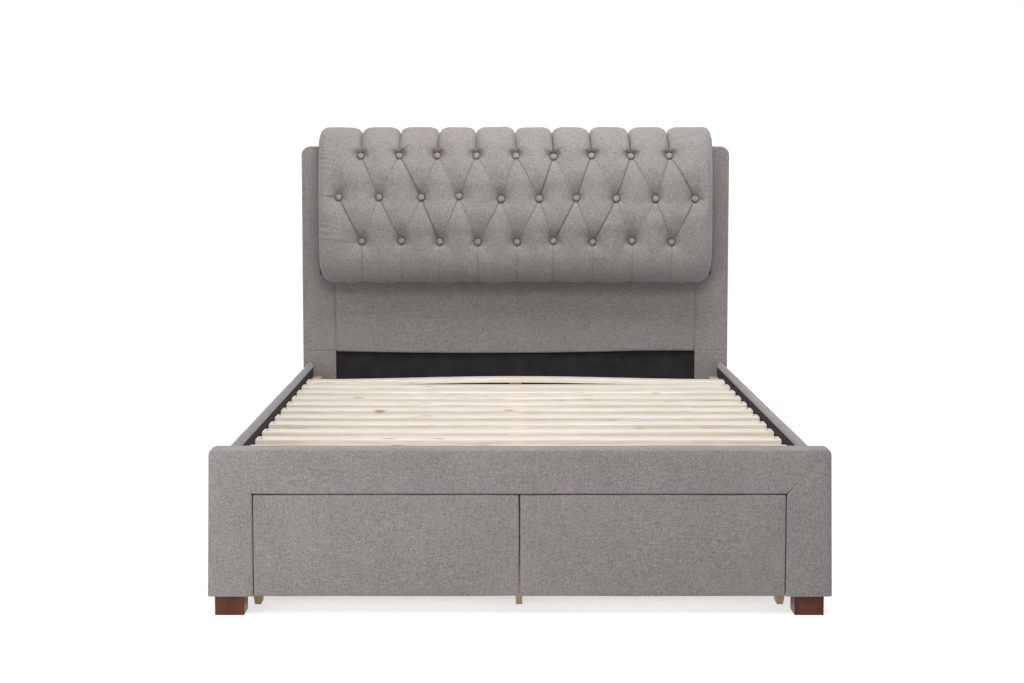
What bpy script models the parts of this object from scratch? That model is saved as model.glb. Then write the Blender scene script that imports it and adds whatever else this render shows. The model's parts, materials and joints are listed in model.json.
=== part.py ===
"""Upholstered double platform bed with two storage drawers in its foot end.

Metres, +Z up, +X to the right of someone standing at the foot and facing the headboard,
which is at +Y. The origin is on the floor, under the middle of the bed.
"""
from math import cos, pi, radians, sin

import bmesh
import bpy
from mathutils import Vector

# Driving dimensions ---------------------------------------------------------------------
BED_LENGTH = 2.090
FOOTBOARD_WIDTH = 1.480
HEADBOARD_WIDTH = 1.438
BED_HEIGHT = 1.192
FOOT_HEIGHT = 0.048
GAP = 0.0003                  # clearance between pieces that touch
SKIRT_Z = FOOT_HEIGHT + 0.0005   # lower edge of everything that is upholstered

FOOTBOARD_THICKNESS = 0.070
FOOTBOARD_TOP = 0.400
FOOTBOARD_CORNER_RADIUS = 0.025
FOOTBOARD_EDGE_RADIUS = 0.014
DRAWER_OPENING_WIDTH = 1.268
DRAWER_OPENING_TOP = 0.295
FRONT_PADDING = 0.012
SIDE_PADDING = 0.010
LINING = 0.004                # fabric over thin board on the hidden faces

HEADBOARD_THICKNESS = 0.090
WING_TOP = 1.124
WING_CORNER_RADIUS = 0.030
PANEL_WIDTH = 1.218           # between the two seams of the headboard
PANEL_BOTTOM = 0.434
PANEL_PADDING = 0.015
CLOTH = 0.0015

ROLL_WIDTH = 1.306
ROLL_BOTTOM = 0.672
ROLL_PROJECTION = 0.125       # how far the roll stands in front of the headboard
ROLL_LOWER_RADIUS = 0.060
ROLL_UPPER_RADIUS = 0.125

RAIL_OUTER_X = 0.716
RAIL_INNER_X = 0.6855
RAIL_TOP = 0.396
RAIL_SKIN = 0.006
RAIL_CROWN = 0.018            # height of the padded half-round on top of the rail

SLAT_COUNT = 12
SLAT_LENGTH = 1.364
SLAT_DEPTH = 0.060
SLAT_THICKNESS = 0.015
SLAT_TOP = 0.3613
SLAT_PITCH = 0.1445
FIRST_SLAT_OFFSET = 0.0745    # from the back of the footboard to the first slat
LAST_SLAT_BOW = 0.010

LEDGE_WIDTH = 0.030
LEDGE_HEIGHT = 0.030
BEAM_WIDTH = 0.040
BEAM_BOTTOM = 0.300
CENTRE_LEG_Y = 0.300

FOOT_SIZE = 0.070
FRONT_FOOT_X = 0.692
REAR_FOOT_X = 0.680

RUNNER_FRONT_SETBACK = 0.130  # from the face of the footboard
RUNNER_LENGTH = 0.560
RUNNER_TOP = 0.285
OUTER_RUNNER_X = 0.6295       # face that carries the slide
OUTER_RUNNER_THICKNESS = 0.018
CENTRE_RUNNER_THICKNESS = 0.015

SLIDE_LENGTH = 0.545
SLIDE_HEIGHT = 0.045
SLIDE_WIDTH = 0.0127
SLIDE_SHEET = 0.0012
SLIDE_Z = 0.160
SLIDE_CLEARANCE = 0.0004

DRAWER_TOP_GAP = 0.003
DRAWER_SIDE_GAP = 0.003
DRAWER_CENTRE_GAP = 0.004
DRAWER_FRONT_THICKNESS = 0.025
DRAWER_LENGTH = 0.615
DRAWER_BOX_BOTTOM = 0.070
DRAWER_BOX_TOP = 0.250
DRAWER_WALL = 0.012
DRAWER_BASE_Z = 0.078
DRAWER_BASE_THICKNESS = 0.006

# Derived positions ----------------------------------------------------------------------
FRONT_Y = -BED_LENGTH / 2
BACK_Y = BED_LENGTH / 2
FOOTBOARD_BACK_Y = FRONT_Y + FOOTBOARD_THICKNESS
HEADBOARD_FRONT_Y = BACK_Y - HEADBOARD_THICKNESS
HEADBOARD_CORE_Y = HEADBOARD_FRONT_Y + PANEL_PADDING
HALF_FOOTBOARD = FOOTBOARD_WIDTH / 2
HALF_HEADBOARD = HEADBOARD_WIDTH / 2
HALF_OPENING = DRAWER_OPENING_WIDTH / 2
HALF_PANEL = PANEL_WIDTH / 2
SLAT_BOTTOM = SLAT_TOP - SLAT_THICKNESS
RUNNER_FRONT_Y = FRONT_Y + RUNNER_FRONT_SETBACK
DRAWER_BACK_Y = FRONT_Y + DRAWER_FRONT_THICKNESS + DRAWER_LENGTH

SIDES = {"left": -1, "right": 1}


# Scene, collections and materials -------------------------------------------------------
def clear_scene():
    for obj in list(bpy.data.objects):
        bpy.data.objects.remove(obj)


def new_collection(name):
    collection = bpy.data.collections.new(name)
    bpy.context.scene.collection.children.link(collection)
    return collection


def new_material(name, colour, roughness, metallic=0.0):
    material = bpy.data.materials.new(name)
    material.use_nodes = True
    shader = material.node_tree.nodes["Principled BSDF"]
    shader.inputs["Base Color"].default_value = (*colour, 1.0)
    shader.inputs["Roughness"].default_value = roughness
    shader.inputs["Metallic"].default_value = metallic
    material.diffuse_color = (*colour, 1.0)
    return material


def grey_weave():
    return new_material("grey_weave", (0.33, 0.31, 0.295), 0.92)


def black_cloth():
    return new_material("black_cloth", (0.018, 0.018, 0.02), 0.95)


def pale_pine():
    return new_material("pale_pine", (0.78, 0.66, 0.52), 0.6)


def frame_timber():
    return new_material("frame_timber", (0.62, 0.47, 0.31), 0.7)


def red_brown_wood():
    return new_material("red_brown_wood", (0.11, 0.035, 0.022), 0.4)


def drawer_board():
    return new_material("drawer_board", (0.72, 0.63, 0.5), 0.55)


def zinc_steel():
    return new_material("zinc_steel", (0.62, 0.63, 0.65), 0.35, 1.0)


# Shape helpers --------------------------------------------------------------------------
def place(obj, collection, parent=None):
    """Link an object and keep its place in the world when it gets a parent."""
    collection.objects.link(obj)
    if parent is not None:
        obj.parent = parent
        obj.location = obj.location - parent.location
    return obj


def board(name, low, high, material, parent=None, collection=None, edge=0.0):
    """A straight block from its lowest to its highest corner, with eased edges if asked."""
    low = Vector(low)
    high = Vector(high)
    bm = bmesh.new()
    bmesh.ops.create_cube(bm, size=1.0)
    bmesh.ops.scale(bm, vec=high - low, verts=bm.verts)
    mesh = bpy.data.meshes.new(name)
    bm.to_mesh(mesh)
    bm.free()
    if material is not None:
        mesh.materials.append(material)
    obj = bpy.data.objects.new(name, mesh)
    obj.location = (low + high) / 2
    place(obj, collection or PARTS, parent)
    if edge:
        ease_edges(obj, edge)
    return obj


def ease_edges(obj, width, segments=2):
    bevel = obj.modifiers.new("eased_edges", 'BEVEL')
    bevel.width = width
    bevel.segments = segments
    bevel.limit_method = 'ANGLE'
    bevel.angle_limit = radians(40)


def mirrored(low, high, side):
    """Corners of the block whose right-hand twin runs from low to high."""
    if side > 0:
        return low, high
    return (-high[0], low[1], low[2]), (-low[0], high[1], high[2])


def arc(centre, radius, start, end, steps):
    """Points on an arc between two angles in degrees."""
    points = []
    for step in range(steps + 1):
        angle = radians(start + (end - start) * step / steps)
        points.append((centre[0] + radius * cos(angle), centre[1] + radius * sin(angle)))
    return points


def outline_mesh(name, points, thickness):
    """Closed mesh of a flat outline, as thick as asked and centred on its own plane."""
    curve = bpy.data.curves.new(name, 'CURVE')
    curve.dimensions = '2D'
    curve.fill_mode = 'BOTH'
    curve.extrude = thickness / 2
    spline = curve.splines.new('POLY')
    spline.points.add(len(points) - 1)
    for point, (u, v) in zip(spline.points, points):
        point.co = (u, v, 0.0, 1.0)
    spline.use_cyclic_u = True
    guide = bpy.data.objects.new(name + "_outline", curve)
    CUTTERS.objects.link(guide)
    evaluated = guide.evaluated_get(bpy.context.evaluated_depsgraph_get())
    mesh = bpy.data.meshes.new_from_object(evaluated)
    bpy.data.objects.remove(guide)
    bpy.data.curves.remove(curve)
    bm = bmesh.new()
    bm.from_mesh(mesh)
    bmesh.ops.remove_doubles(bm, verts=bm.verts, dist=1e-5)
    bmesh.ops.recalc_face_normals(bm, faces=bm.faces)
    bm.to_mesh(mesh)
    bm.free()
    mesh.name = name
    return mesh


def front_outline(name, points, low_y, high_y, material=None, collection=None):
    """Solid with an outline in X and Z, filled from low_y to high_y."""
    mesh = outline_mesh(name, points, high_y - low_y)
    if material is not None:
        mesh.materials.append(material)
    obj = bpy.data.objects.new(name, mesh)
    obj.rotation_euler = (pi / 2, 0, 0)
    obj.location = (0, (low_y + high_y) / 2, 0)
    return place(obj, collection or PARTS)


def side_outline(name, points, low_x, high_x, material=None, collection=None):
    """Solid with an outline in Y and Z, filled from low_x to high_x."""
    mesh = outline_mesh(name, points, high_x - low_x)
    if material is not None:
        mesh.materials.append(material)
    obj = bpy.data.objects.new(name, mesh)
    obj.rotation_euler = (pi / 2, 0, pi / 2)
    obj.location = ((low_x + high_x) / 2, 0, 0)
    return place(obj, collection or PARTS)


def combine(obj, other, operation):
    """Boolean with a piece that is kept only as a cutter."""
    other.hide_render = True
    other.display_type = 'WIRE'
    modifier = obj.modifiers.new(operation.lower(), 'BOOLEAN')
    modifier.operation = operation
    modifier.solver = 'EXACT'
    modifier.object = other
    return obj


def cutter_box(name, low, high):
    return board(name, low, high, None, collection=CUTTERS)


def empty(name, location):
    """Parent on a joint: what hangs on it moves together."""
    obj = bpy.data.objects.new(name, None)
    obj.location = location
    PARTS.objects.link(obj)
    return obj


# Headboard ------------------------------------------------------------------------------
FRAME_POST_WIDTH = 0.070
FRAME_RAIL_HEIGHT = 0.070
FRAME_TOP = WING_TOP - 0.0123
FRAME_HALF_WIDTH = HALF_HEADBOARD - SIDE_PADDING - GAP


def headboard_frame(material):
    """Softwood ladder: two posts and three rails, glued and screwed into one piece."""
    low_y = HEADBOARD_CORE_Y + GAP
    high_y = BACK_Y - CLOTH - GAP
    bottom = SKIRT_Z + GAP
    frame = board("headboard_frame", (-FRAME_HALF_WIDTH, low_y, bottom),
                  (FRAME_HALF_WIDTH, high_y, FRAME_TOP), material)
    inner = FRAME_HALF_WIDTH - FRAME_POST_WIDTH
    rail_bottoms = [bottom + 0.180, PANEL_BOTTOM - FRAME_RAIL_HEIGHT / 2,
                    ROLL_BOTTOM - FRAME_RAIL_HEIGHT / 2, FRAME_TOP - FRAME_RAIL_HEIGHT]
    bay_bottom = bottom - 0.050
    for number, rail_bottom in enumerate(rail_bottoms):
        cutter = cutter_box(f"headboard_bay_{number + 1}", (-inner, low_y - 0.05, bay_bottom),
                            (inner, high_y + 0.05, rail_bottom))
        combine(frame, cutter, 'DIFFERENCE')
        bay_bottom = rail_bottom + FRAME_RAIL_HEIGHT
    return frame


def headboard_panel_cover(material):
    """Padded centre panel: down the front to its lower seam and back over the top edge."""
    half = HALF_PANEL - GAP
    cover = board("headboard_panel_cover", (-half, HEADBOARD_FRONT_Y, PANEL_BOTTOM),
                  (half, BACK_Y, WING_TOP), material)
    cutter = cutter_box("headboard_panel_cavity", (-half - 0.05, HEADBOARD_CORE_Y, PANEL_BOTTOM - 0.05),
                        (half + 0.05, BACK_Y + 0.05, FRAME_TOP + GAP))
    return combine(cover, cutter, 'DIFFERENCE')


def headboard_side_cover(name, side, material):
    """Padded wing: front strip, outer side and top of one post, with a round top corner."""
    outline = [(side * HALF_PANEL, SKIRT_Z), (side * HALF_HEADBOARD, SKIRT_Z)]
    corner = (HALF_HEADBOARD - WING_CORNER_RADIUS, WING_TOP - WING_CORNER_RADIUS)
    for x, z in arc(corner, WING_CORNER_RADIUS, 0, 90, 6):
        outline.append((side * x, z))
    outline.append((side * HALF_PANEL, WING_TOP))
    cover = front_outline(name, outline, HEADBOARD_FRONT_Y, BACK_Y, material)
    low, high = mirrored((HALF_PANEL - 0.05, HEADBOARD_CORE_Y, SKIRT_Z - 0.05),
                         (FRAME_HALF_WIDTH + GAP, BACK_Y + 0.05, FRAME_TOP + GAP), side)
    return combine(cover, cutter_box(name + "_cavity", low, high), 'DIFFERENCE')


def headboard_roll(material):
    """Thick roll over the top of the headboard: side profile met with its rounded front."""
    back = HEADBOARD_FRONT_Y - GAP
    front = HEADBOARD_FRONT_Y - ROLL_PROJECTION
    lower = (front + ROLL_LOWER_RADIUS, ROLL_BOTTOM + ROLL_LOWER_RADIUS)
    upper = (front + ROLL_UPPER_RADIUS, BED_HEIGHT - ROLL_UPPER_RADIUS)
    profile = [(back, WING_TOP + GAP), (back, ROLL_BOTTOM + 0.020)]
    profile += arc(lower, ROLL_LOWER_RADIUS, -70, -180, 7)
    profile += arc(upper, ROLL_UPPER_RADIUS, 180, 90, 8)
    profile += arc(upper, ROLL_UPPER_RADIUS, 79, 46, 3)
    profile.append((BACK_Y, WING_TOP + GAP))
    roll = side_outline("headboard_roll", profile, -ROLL_WIDTH / 2, ROLL_WIDTH / 2, material)
    half = ROLL_WIDTH / 2
    outline = arc((half - 0.060, ROLL_BOTTOM + 0.060), 0.060, -90, 0, 6)
    outline += arc((half - 0.035, BED_HEIGHT - 0.035), 0.035, 0, 90, 5)
    outline += [(-x, z) for x, z in reversed(outline)]
    shape = front_outline("headboard_roll_front_shape", outline, front - 0.05, BACK_Y + 0.05,
                          collection=CUTTERS)
    return combine(roll, shape, 'INTERSECT')


def headboard_cloths(material):
    board("headboard_dust_cloth", (-HALF_PANEL + GAP, HEADBOARD_CORE_Y - CLOTH, SKIRT_Z + 0.010),
          (HALF_PANEL - GAP, HEADBOARD_CORE_Y, PANEL_BOTTOM - GAP), material)
    board("headboard_back_cloth", (-FRAME_HALF_WIDTH, BACK_Y - CLOTH, SKIRT_Z + 0.010),
          (FRAME_HALF_WIDTH, BACK_Y, FRAME_TOP), material)


def block_foot(name, x, low_y, material):
    """Square wooden block under a corner."""
    half = FOOT_SIZE / 2
    return board(name, (x - half, low_y, 0), (x + half, low_y + FOOT_SIZE, FOOT_HEIGHT),
                 material, edge=0.0015)


# Footboard ------------------------------------------------------------------------------
CORE_TOP = FOOTBOARD_TOP - FRONT_PADDING - GAP
CORE_OPENING_TOP = DRAWER_OPENING_TOP + LINING + GAP
CORE_INNER_X = HALF_OPENING + LINING + GAP
CORE_OUTER_X = HALF_FOOTBOARD - SIDE_PADDING - GAP
CORE_LOW_Y = FRONT_Y + FRONT_PADDING + GAP
CORE_HIGH_Y = FOOTBOARD_BACK_Y - LINING - GAP


def footboard_frame(material):
    """Timber core of the footboard: two posts under a top rail, open for the drawers."""
    bottom = SKIRT_Z + GAP
    frame = board("footboard_frame", (-CORE_OUTER_X, CORE_LOW_Y, bottom),
                  (CORE_OUTER_X, CORE_HIGH_Y, CORE_TOP), material)
    cutter = cutter_box("footboard_frame_opening", (-CORE_INNER_X, CORE_LOW_Y - 0.05, bottom - 0.05),
                        (CORE_INNER_X, CORE_HIGH_Y + 0.05, CORE_OPENING_TOP))
    return combine(frame, cutter, 'DIFFERENCE')


def footboard_outer_shape(name):
    """Whole padded footboard without its opening: round top corners and soft edges."""
    corner = (HALF_FOOTBOARD - FOOTBOARD_CORNER_RADIUS, FOOTBOARD_TOP - FOOTBOARD_CORNER_RADIUS)
    outline = [(HALF_FOOTBOARD, SKIRT_Z)]
    outline += arc(corner, FOOTBOARD_CORNER_RADIUS, 0, 90, 6)
    outline += [(-x, z) for x, z in reversed(outline)]
    shape = front_outline(name, outline, FRONT_Y, FOOTBOARD_BACK_Y, collection=CUTTERS)
    ease_edges(shape, FOOTBOARD_EDGE_RADIUS, 3)
    shape.hide_render = True
    shape.display_type = 'WIRE'
    return shape


def footboard_cover_top(material):
    """Padded cover of the top rail, with mitred ends that follow the corner seams."""
    rise = FOOTBOARD_TOP - DRAWER_OPENING_TOP + 0.05
    half = HALF_OPENING - GAP
    outline = [(-half, DRAWER_OPENING_TOP), (half, DRAWER_OPENING_TOP),
               (half + rise, DRAWER_OPENING_TOP + rise), (-half - rise, DRAWER_OPENING_TOP + rise)]
    cover = front_outline("footboard_cover_top", outline, FRONT_Y - 0.05, FOOTBOARD_BACK_Y + 0.05, material)
    combine(cover, footboard_outer_shape("footboard_shape_top"), 'INTERSECT')
    cavity = cutter_box("footboard_cavity_top",
                        (-HALF_FOOTBOARD - 0.1, CORE_LOW_Y - GAP, CORE_OPENING_TOP - GAP),
                        (HALF_FOOTBOARD + 0.1, CORE_HIGH_Y + GAP, CORE_TOP + GAP))
    return combine(cover, cavity, 'DIFFERENCE')


def footboard_cover_post(name, side, material):
    """Padded cover of one post, mitred at the top where it meets the rail's cover."""
    rise = FOOTBOARD_TOP - DRAWER_OPENING_TOP + 0.05
    inner = HALF_OPENING
    outline = [(inner, SKIRT_Z - 0.02), (inner + rise + 0.1, SKIRT_Z - 0.02),
               (inner + rise + 0.1, DRAWER_OPENING_TOP + rise), (inner + rise, DRAWER_OPENING_TOP + rise),
               (inner, DRAWER_OPENING_TOP)]
    outline = [(side * x, z) for x, z in outline]
    cover = front_outline(name, outline, FRONT_Y - 0.05, FOOTBOARD_BACK_Y + 0.05, material)
    combine(cover, footboard_outer_shape(name + "_shape"), 'INTERSECT')
    low, high = mirrored((CORE_INNER_X - GAP, CORE_LOW_Y - GAP, SKIRT_Z - 0.05),
                         (CORE_OUTER_X + GAP, CORE_HIGH_Y + GAP, CORE_TOP + GAP), side)
    return combine(cover, cutter_box(name + "_cavity", low, high), 'DIFFERENCE')


# Side rails, slats and centre support ---------------------------------------------------
RAIL_LOW_Y = FOOTBOARD_BACK_Y + GAP
RAIL_HIGH_Y = HEADBOARD_FRONT_Y - GAP


def side_rail(side_name, side, timber, fabric, pine):
    """Rail board, its padded cover with a half-round top, and the ledge for the slats."""
    board_top = RAIL_TOP - RAIL_CROWN - GAP
    low, high = mirrored((RAIL_INNER_X, RAIL_LOW_Y, SKIRT_Z),
                         (RAIL_OUTER_X - RAIL_SKIN - GAP, RAIL_HIGH_Y, board_top), side)
    board("side_rail_" + side_name, low, high, timber)
    side_rail_cover("side_rail_cover_" + side_name, side, fabric)
    low, high = mirrored((RAIL_INNER_X - GAP - LEDGE_WIDTH, RAIL_LOW_Y, SLAT_BOTTOM - GAP - LEDGE_HEIGHT),
                         (RAIL_INNER_X - GAP, RAIL_HIGH_Y, SLAT_BOTTOM - GAP), side)
    board("slat_ledge_" + side_name, low, high, pine)


def side_rail_cover(name, side, material):
    """Padding over the outer face and the top of a rail, extruded along the bed."""
    base = RAIL_TOP - RAIL_CROWN
    middle = (RAIL_OUTER_X + RAIL_INNER_X) / 2
    half = (RAIL_OUTER_X - RAIL_INNER_X) / 2
    outline = [(RAIL_OUTER_X, SKIRT_Z), (RAIL_OUTER_X, base)]
    for step in range(1, 8):
        angle = pi * step / 8
        outline.append((middle + half * cos(angle), base + RAIL_CROWN * sin(angle)))
    outline += [(RAIL_INNER_X, base), (RAIL_OUTER_X - RAIL_SKIN, base), (RAIL_OUTER_X - RAIL_SKIN, SKIRT_Z)]
    outline = [(side * x, z) for x, z in outline]
    return front_outline(name, outline, RAIL_LOW_Y, RAIL_HIGH_Y, material)


def slat(number, material):
    """One cross slat; the last one, at the head, is bowed upwards."""
    low_y = FOOTBOARD_BACK_Y + FIRST_SLAT_OFFSET + (number - 1) * SLAT_PITCH
    bow = LAST_SLAT_BOW if number == SLAT_COUNT else 0.0
    half = SLAT_LENGTH / 2
    obj = board(f"slat_{number:02d}", (-half, low_y, SLAT_BOTTOM), (half, low_y + SLAT_DEPTH, SLAT_TOP),
                material)
    if bow:
        bm = bmesh.new()
        bm.from_mesh(obj.data)
        long_edges = [edge for edge in bm.edges if edge.calc_length() > SLAT_LENGTH * 0.9]
        bmesh.ops.subdivide_edges(bm, edges=long_edges, cuts=15, use_grid_fill=True)
        for vert in bm.verts:
            vert.co.z += bow * cos(pi * vert.co.x / SLAT_LENGTH) ** 2
        bm.to_mesh(obj.data)
        bm.free()
    ease_edges(obj, 0.0015, 1)
    return obj


def centre_support(material):
    half = BEAM_WIDTH / 2
    board("centre_beam", (-half, FOOTBOARD_BACK_Y + GAP, BEAM_BOTTOM),
          (half, HEADBOARD_CORE_Y - CLOTH - GAP, SLAT_BOTTOM - GAP), material)
    board("centre_leg", (-half, CENTRE_LEG_Y - half, 0),
          (half, CENTRE_LEG_Y + half, BEAM_BOTTOM - GAP), material, edge=0.0015)


# Drawer runners and slides --------------------------------------------------------------
RUNNER_FOOT_TOP_WIDTH = 0.033
RUNNER_FOOT_BOTTOM_WIDTH = 0.015
RUNNER_FOOT_DEPTH = 0.045
RUNNER_BOARD_BOTTOM = 0.054


def tapered_foot(name, x, low_y, top_width, bottom_width):
    """Small foot under a runner board, narrower at the floor."""
    top = RUNNER_BOARD_BOTTOM + 0.004
    neck = FOOT_HEIGHT
    outline = [(x - bottom_width / 2, 0.0), (x + bottom_width / 2, 0.0), (x + top_width / 2, neck),
               (x + top_width / 2, top), (x - top_width / 2, top), (x - top_width / 2, neck)]
    return front_outline(name, outline, low_y, low_y + RUNNER_FOOT_DEPTH, collection=CUTTERS)


def runner_board(name, x, thickness, top, foot_top, foot_bottom, material):
    """Upright board that carries the slides, standing on a foot at each end."""
    high_y = RUNNER_FRONT_Y + RUNNER_LENGTH
    obj = board(name, (x - thickness / 2, RUNNER_FRONT_Y, RUNNER_BOARD_BOTTOM),
                (x + thickness / 2, high_y, top), material)
    for end, low_y in (("front", RUNNER_FRONT_Y - 0.001), ("rear", high_y - RUNNER_FOOT_DEPTH + 0.001)):
        foot = tapered_foot(f"{name}_{end}_foot", x, low_y, foot_top, foot_bottom)
        combine(obj, foot, 'UNION')
    return obj


def runner_boards(material):
    for side_name, side in SIDES.items():
        x = side * (OUTER_RUNNER_X + OUTER_RUNNER_THICKNESS / 2)
        runner_board("runner_board_" + side_name, x, OUTER_RUNNER_THICKNESS, RUNNER_TOP,
                     RUNNER_FOOT_TOP_WIDTH, RUNNER_FOOT_BOTTOM_WIDTH, material)
    runner_board("runner_board_centre", 0.0, CENTRE_RUNNER_THICKNESS, BEAM_BOTTOM - GAP,
                 CENTRE_RUNNER_THICKNESS + 0.002, CENTRE_RUNNER_THICKNESS + 0.001, material)


def channel(name, web_x, open_x, half_height, material, parent=None):
    """Pressed steel channel of a slide: an upright web with a flange along each long edge."""
    direction = 1 if open_x > web_x else -1
    inner_x = web_x + direction * SLIDE_SHEET
    flange = half_height - SLIDE_SHEET
    outline = [(web_x, -half_height), (open_x, -half_height), (open_x, -flange), (inner_x, -flange),
               (inner_x, flange), (open_x, flange), (open_x, half_height), (web_x, half_height)]
    low_y = RUNNER_FRONT_Y + 0.005
    obj = front_outline(name, outline, low_y, low_y + SLIDE_LENGTH, material)
    obj.location.z = SLIDE_Z
    if parent is not None:
        obj.parent = parent
        obj.location = obj.location - parent.location
    return obj


def slide(prefix, face_x, direction, drawer, carriage, material):
    """Three-part telescopic slide from the runner's face towards the drawer's side."""
    half = SLIDE_HEIGHT / 2

    def across(distance):
        return face_x + direction * distance

    channel(prefix + "_fixed", across(GAP), across(0.0096), half, material)
    channel(prefix + "_middle", across(0.0030), across(0.0108), half - 0.0045, material, carriage)
    channel(prefix + "_moving", across(SLIDE_WIDTH - GAP), across(0.0055), half - 0.0090, material, drawer)


# Drawers --------------------------------------------------------------------------------
def drawer(side_name, side, fabric, wood, steel):
    """Drawer with an upholstered front; it and the slides' carriage move towards the foot."""
    body = empty(side_name + "_drawer", (side * HALF_OPENING / 2, FRONT_Y, SLIDE_Z))
    carriage = empty(side_name + "_slide_carriage", (side * HALF_OPENING / 2, RUNNER_FRONT_Y, SLIDE_Z))
    prefix = side_name + "_drawer_"

    inner_x = CENTRE_RUNNER_THICKNESS / 2 + SLIDE_WIDTH
    outer_x = OUTER_RUNNER_X - SLIDE_WIDTH
    front_back_y = FRONT_Y + DRAWER_FRONT_THICKNESS

    def piece(name, low, high, material, edge=0.0):
        low, high = mirrored(low, high, side)
        return board(prefix + name, low, high, material, body, edge=edge)

    piece("front", (DRAWER_CENTRE_GAP / 2, FRONT_Y, SKIRT_Z),
          (HALF_OPENING - DRAWER_SIDE_GAP, front_back_y, DRAWER_OPENING_TOP - DRAWER_TOP_GAP),
          fabric, 0.004)
    wall_low_y = front_back_y + GAP
    piece("inner_side", (inner_x, wall_low_y, DRAWER_BOX_BOTTOM),
          (inner_x + DRAWER_WALL, DRAWER_BACK_Y, DRAWER_BOX_TOP), wood, 0.001)
    piece("outer_side", (outer_x - DRAWER_WALL, wall_low_y, DRAWER_BOX_BOTTOM),
          (outer_x, DRAWER_BACK_Y, DRAWER_BOX_TOP), wood, 0.001)
    low_x = inner_x + DRAWER_WALL + GAP
    high_x = outer_x - DRAWER_WALL - GAP
    piece("back", (low_x, DRAWER_BACK_Y - DRAWER_WALL, DRAWER_BOX_BOTTOM),
          (high_x, DRAWER_BACK_Y, DRAWER_BOX_TOP), wood)
    piece("base", (low_x, wall_low_y, DRAWER_BASE_Z),
          (high_x, DRAWER_BACK_Y - DRAWER_WALL - GAP, DRAWER_BASE_Z + DRAWER_BASE_THICKNESS), wood)

    slide(side_name + "_inner_slide", side * CENTRE_RUNNER_THICKNESS / 2, side, body, carriage, steel)
    slide(side_name + "_outer_slide", side * OUTER_RUNNER_X, -side, body, carriage, steel)


# Whole bed ------------------------------------------------------------------------------
def build_bed():
    fabric = grey_weave()
    cloth = black_cloth()
    pine = pale_pine()
    timber = frame_timber()
    foot_wood = red_brown_wood()
    wood = drawer_board()
    steel = zinc_steel()

    headboard_frame(timber)
    headboard_panel_cover(fabric)
    headboard_roll(fabric)
    headboard_cloths(cloth)
    footboard_frame(timber)
    footboard_cover_top(fabric)
    for side_name, side in SIDES.items():
        headboard_side_cover("headboard_side_cover_" + side_name, side, fabric)
        footboard_cover_post("footboard_cover_" + side_name, side, fabric)
        block_foot("headboard_foot_" + side_name, side * REAR_FOOT_X, BACK_Y - 0.010 - FOOT_SIZE, foot_wood)
        block_foot("footboard_foot_" + side_name, side * FRONT_FOOT_X, FRONT_Y + 0.015, foot_wood)
        side_rail(side_name, side, timber, fabric, pine)
        drawer(side_name, side, fabric, wood, steel)
    for number in range(1, SLAT_COUNT + 1):
        slat(number, pine)
    centre_support(pine)
    runner_boards(pine)


clear_scene()
PARTS = new_collection("platform_bed_with_drawers")
CUTTERS = new_collection("cutters")
build_bed()
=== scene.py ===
"""Looks of an upholstered platform bed with a button-tufted roll and two storage drawers.

Metres, in the frame of the CAD model: +X right, +Y towards the headboard, +Z up.
"""
import json
from math import ceil, cos, pi, radians, sin, sqrt

import bmesh
import bpy
import numpy as np
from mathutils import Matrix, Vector


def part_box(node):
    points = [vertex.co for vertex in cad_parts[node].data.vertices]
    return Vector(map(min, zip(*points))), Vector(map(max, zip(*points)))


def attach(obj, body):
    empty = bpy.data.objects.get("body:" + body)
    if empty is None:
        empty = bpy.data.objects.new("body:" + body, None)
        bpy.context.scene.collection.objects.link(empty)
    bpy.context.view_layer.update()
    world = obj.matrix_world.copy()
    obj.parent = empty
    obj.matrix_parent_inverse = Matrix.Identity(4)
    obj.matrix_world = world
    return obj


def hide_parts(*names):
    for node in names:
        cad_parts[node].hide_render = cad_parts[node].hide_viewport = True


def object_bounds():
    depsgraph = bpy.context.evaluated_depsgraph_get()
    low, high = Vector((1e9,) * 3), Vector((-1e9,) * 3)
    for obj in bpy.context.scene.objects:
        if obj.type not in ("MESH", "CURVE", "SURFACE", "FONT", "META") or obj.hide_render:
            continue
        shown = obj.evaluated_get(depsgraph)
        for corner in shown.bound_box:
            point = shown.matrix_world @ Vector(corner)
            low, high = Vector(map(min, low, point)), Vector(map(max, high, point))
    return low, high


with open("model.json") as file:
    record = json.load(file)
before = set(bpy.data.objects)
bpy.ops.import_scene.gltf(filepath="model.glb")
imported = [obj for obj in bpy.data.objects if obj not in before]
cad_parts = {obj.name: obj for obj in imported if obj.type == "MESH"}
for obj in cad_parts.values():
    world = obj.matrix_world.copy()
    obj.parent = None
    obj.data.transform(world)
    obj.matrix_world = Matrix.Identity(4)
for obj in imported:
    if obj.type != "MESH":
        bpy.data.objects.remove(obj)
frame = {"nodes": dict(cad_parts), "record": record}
cad_low, cad_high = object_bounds()
nodes = frame["nodes"]

SIDES = {"left": -1, "right": 1}
rng = np.random.default_rng(28)


# Places read from the frame -------------------------------------------------------------
def corners(*names):
    """Lowest and highest corner of several nodes together."""
    boxes = [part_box(name) for name in names]
    low = Vector([min(low[axis] for low, high in boxes) for axis in range(3)])
    high = Vector([max(high[axis] for low, high in boxes) for axis in range(3)])
    return low, high


# Camera ---------------------------------------------------------------------------------
CAMERA_X = -0.033
CAMERA_DISTANCE = 4.529      # in front of the footboard
CAMERA_HEIGHT = 1.0946
CAMERA_PITCH = 0.090         # radians below the horizon
CAMERA_LENS = 68.06
CAMERA_SHIFT = (0.0063, -0.0114)


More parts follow.
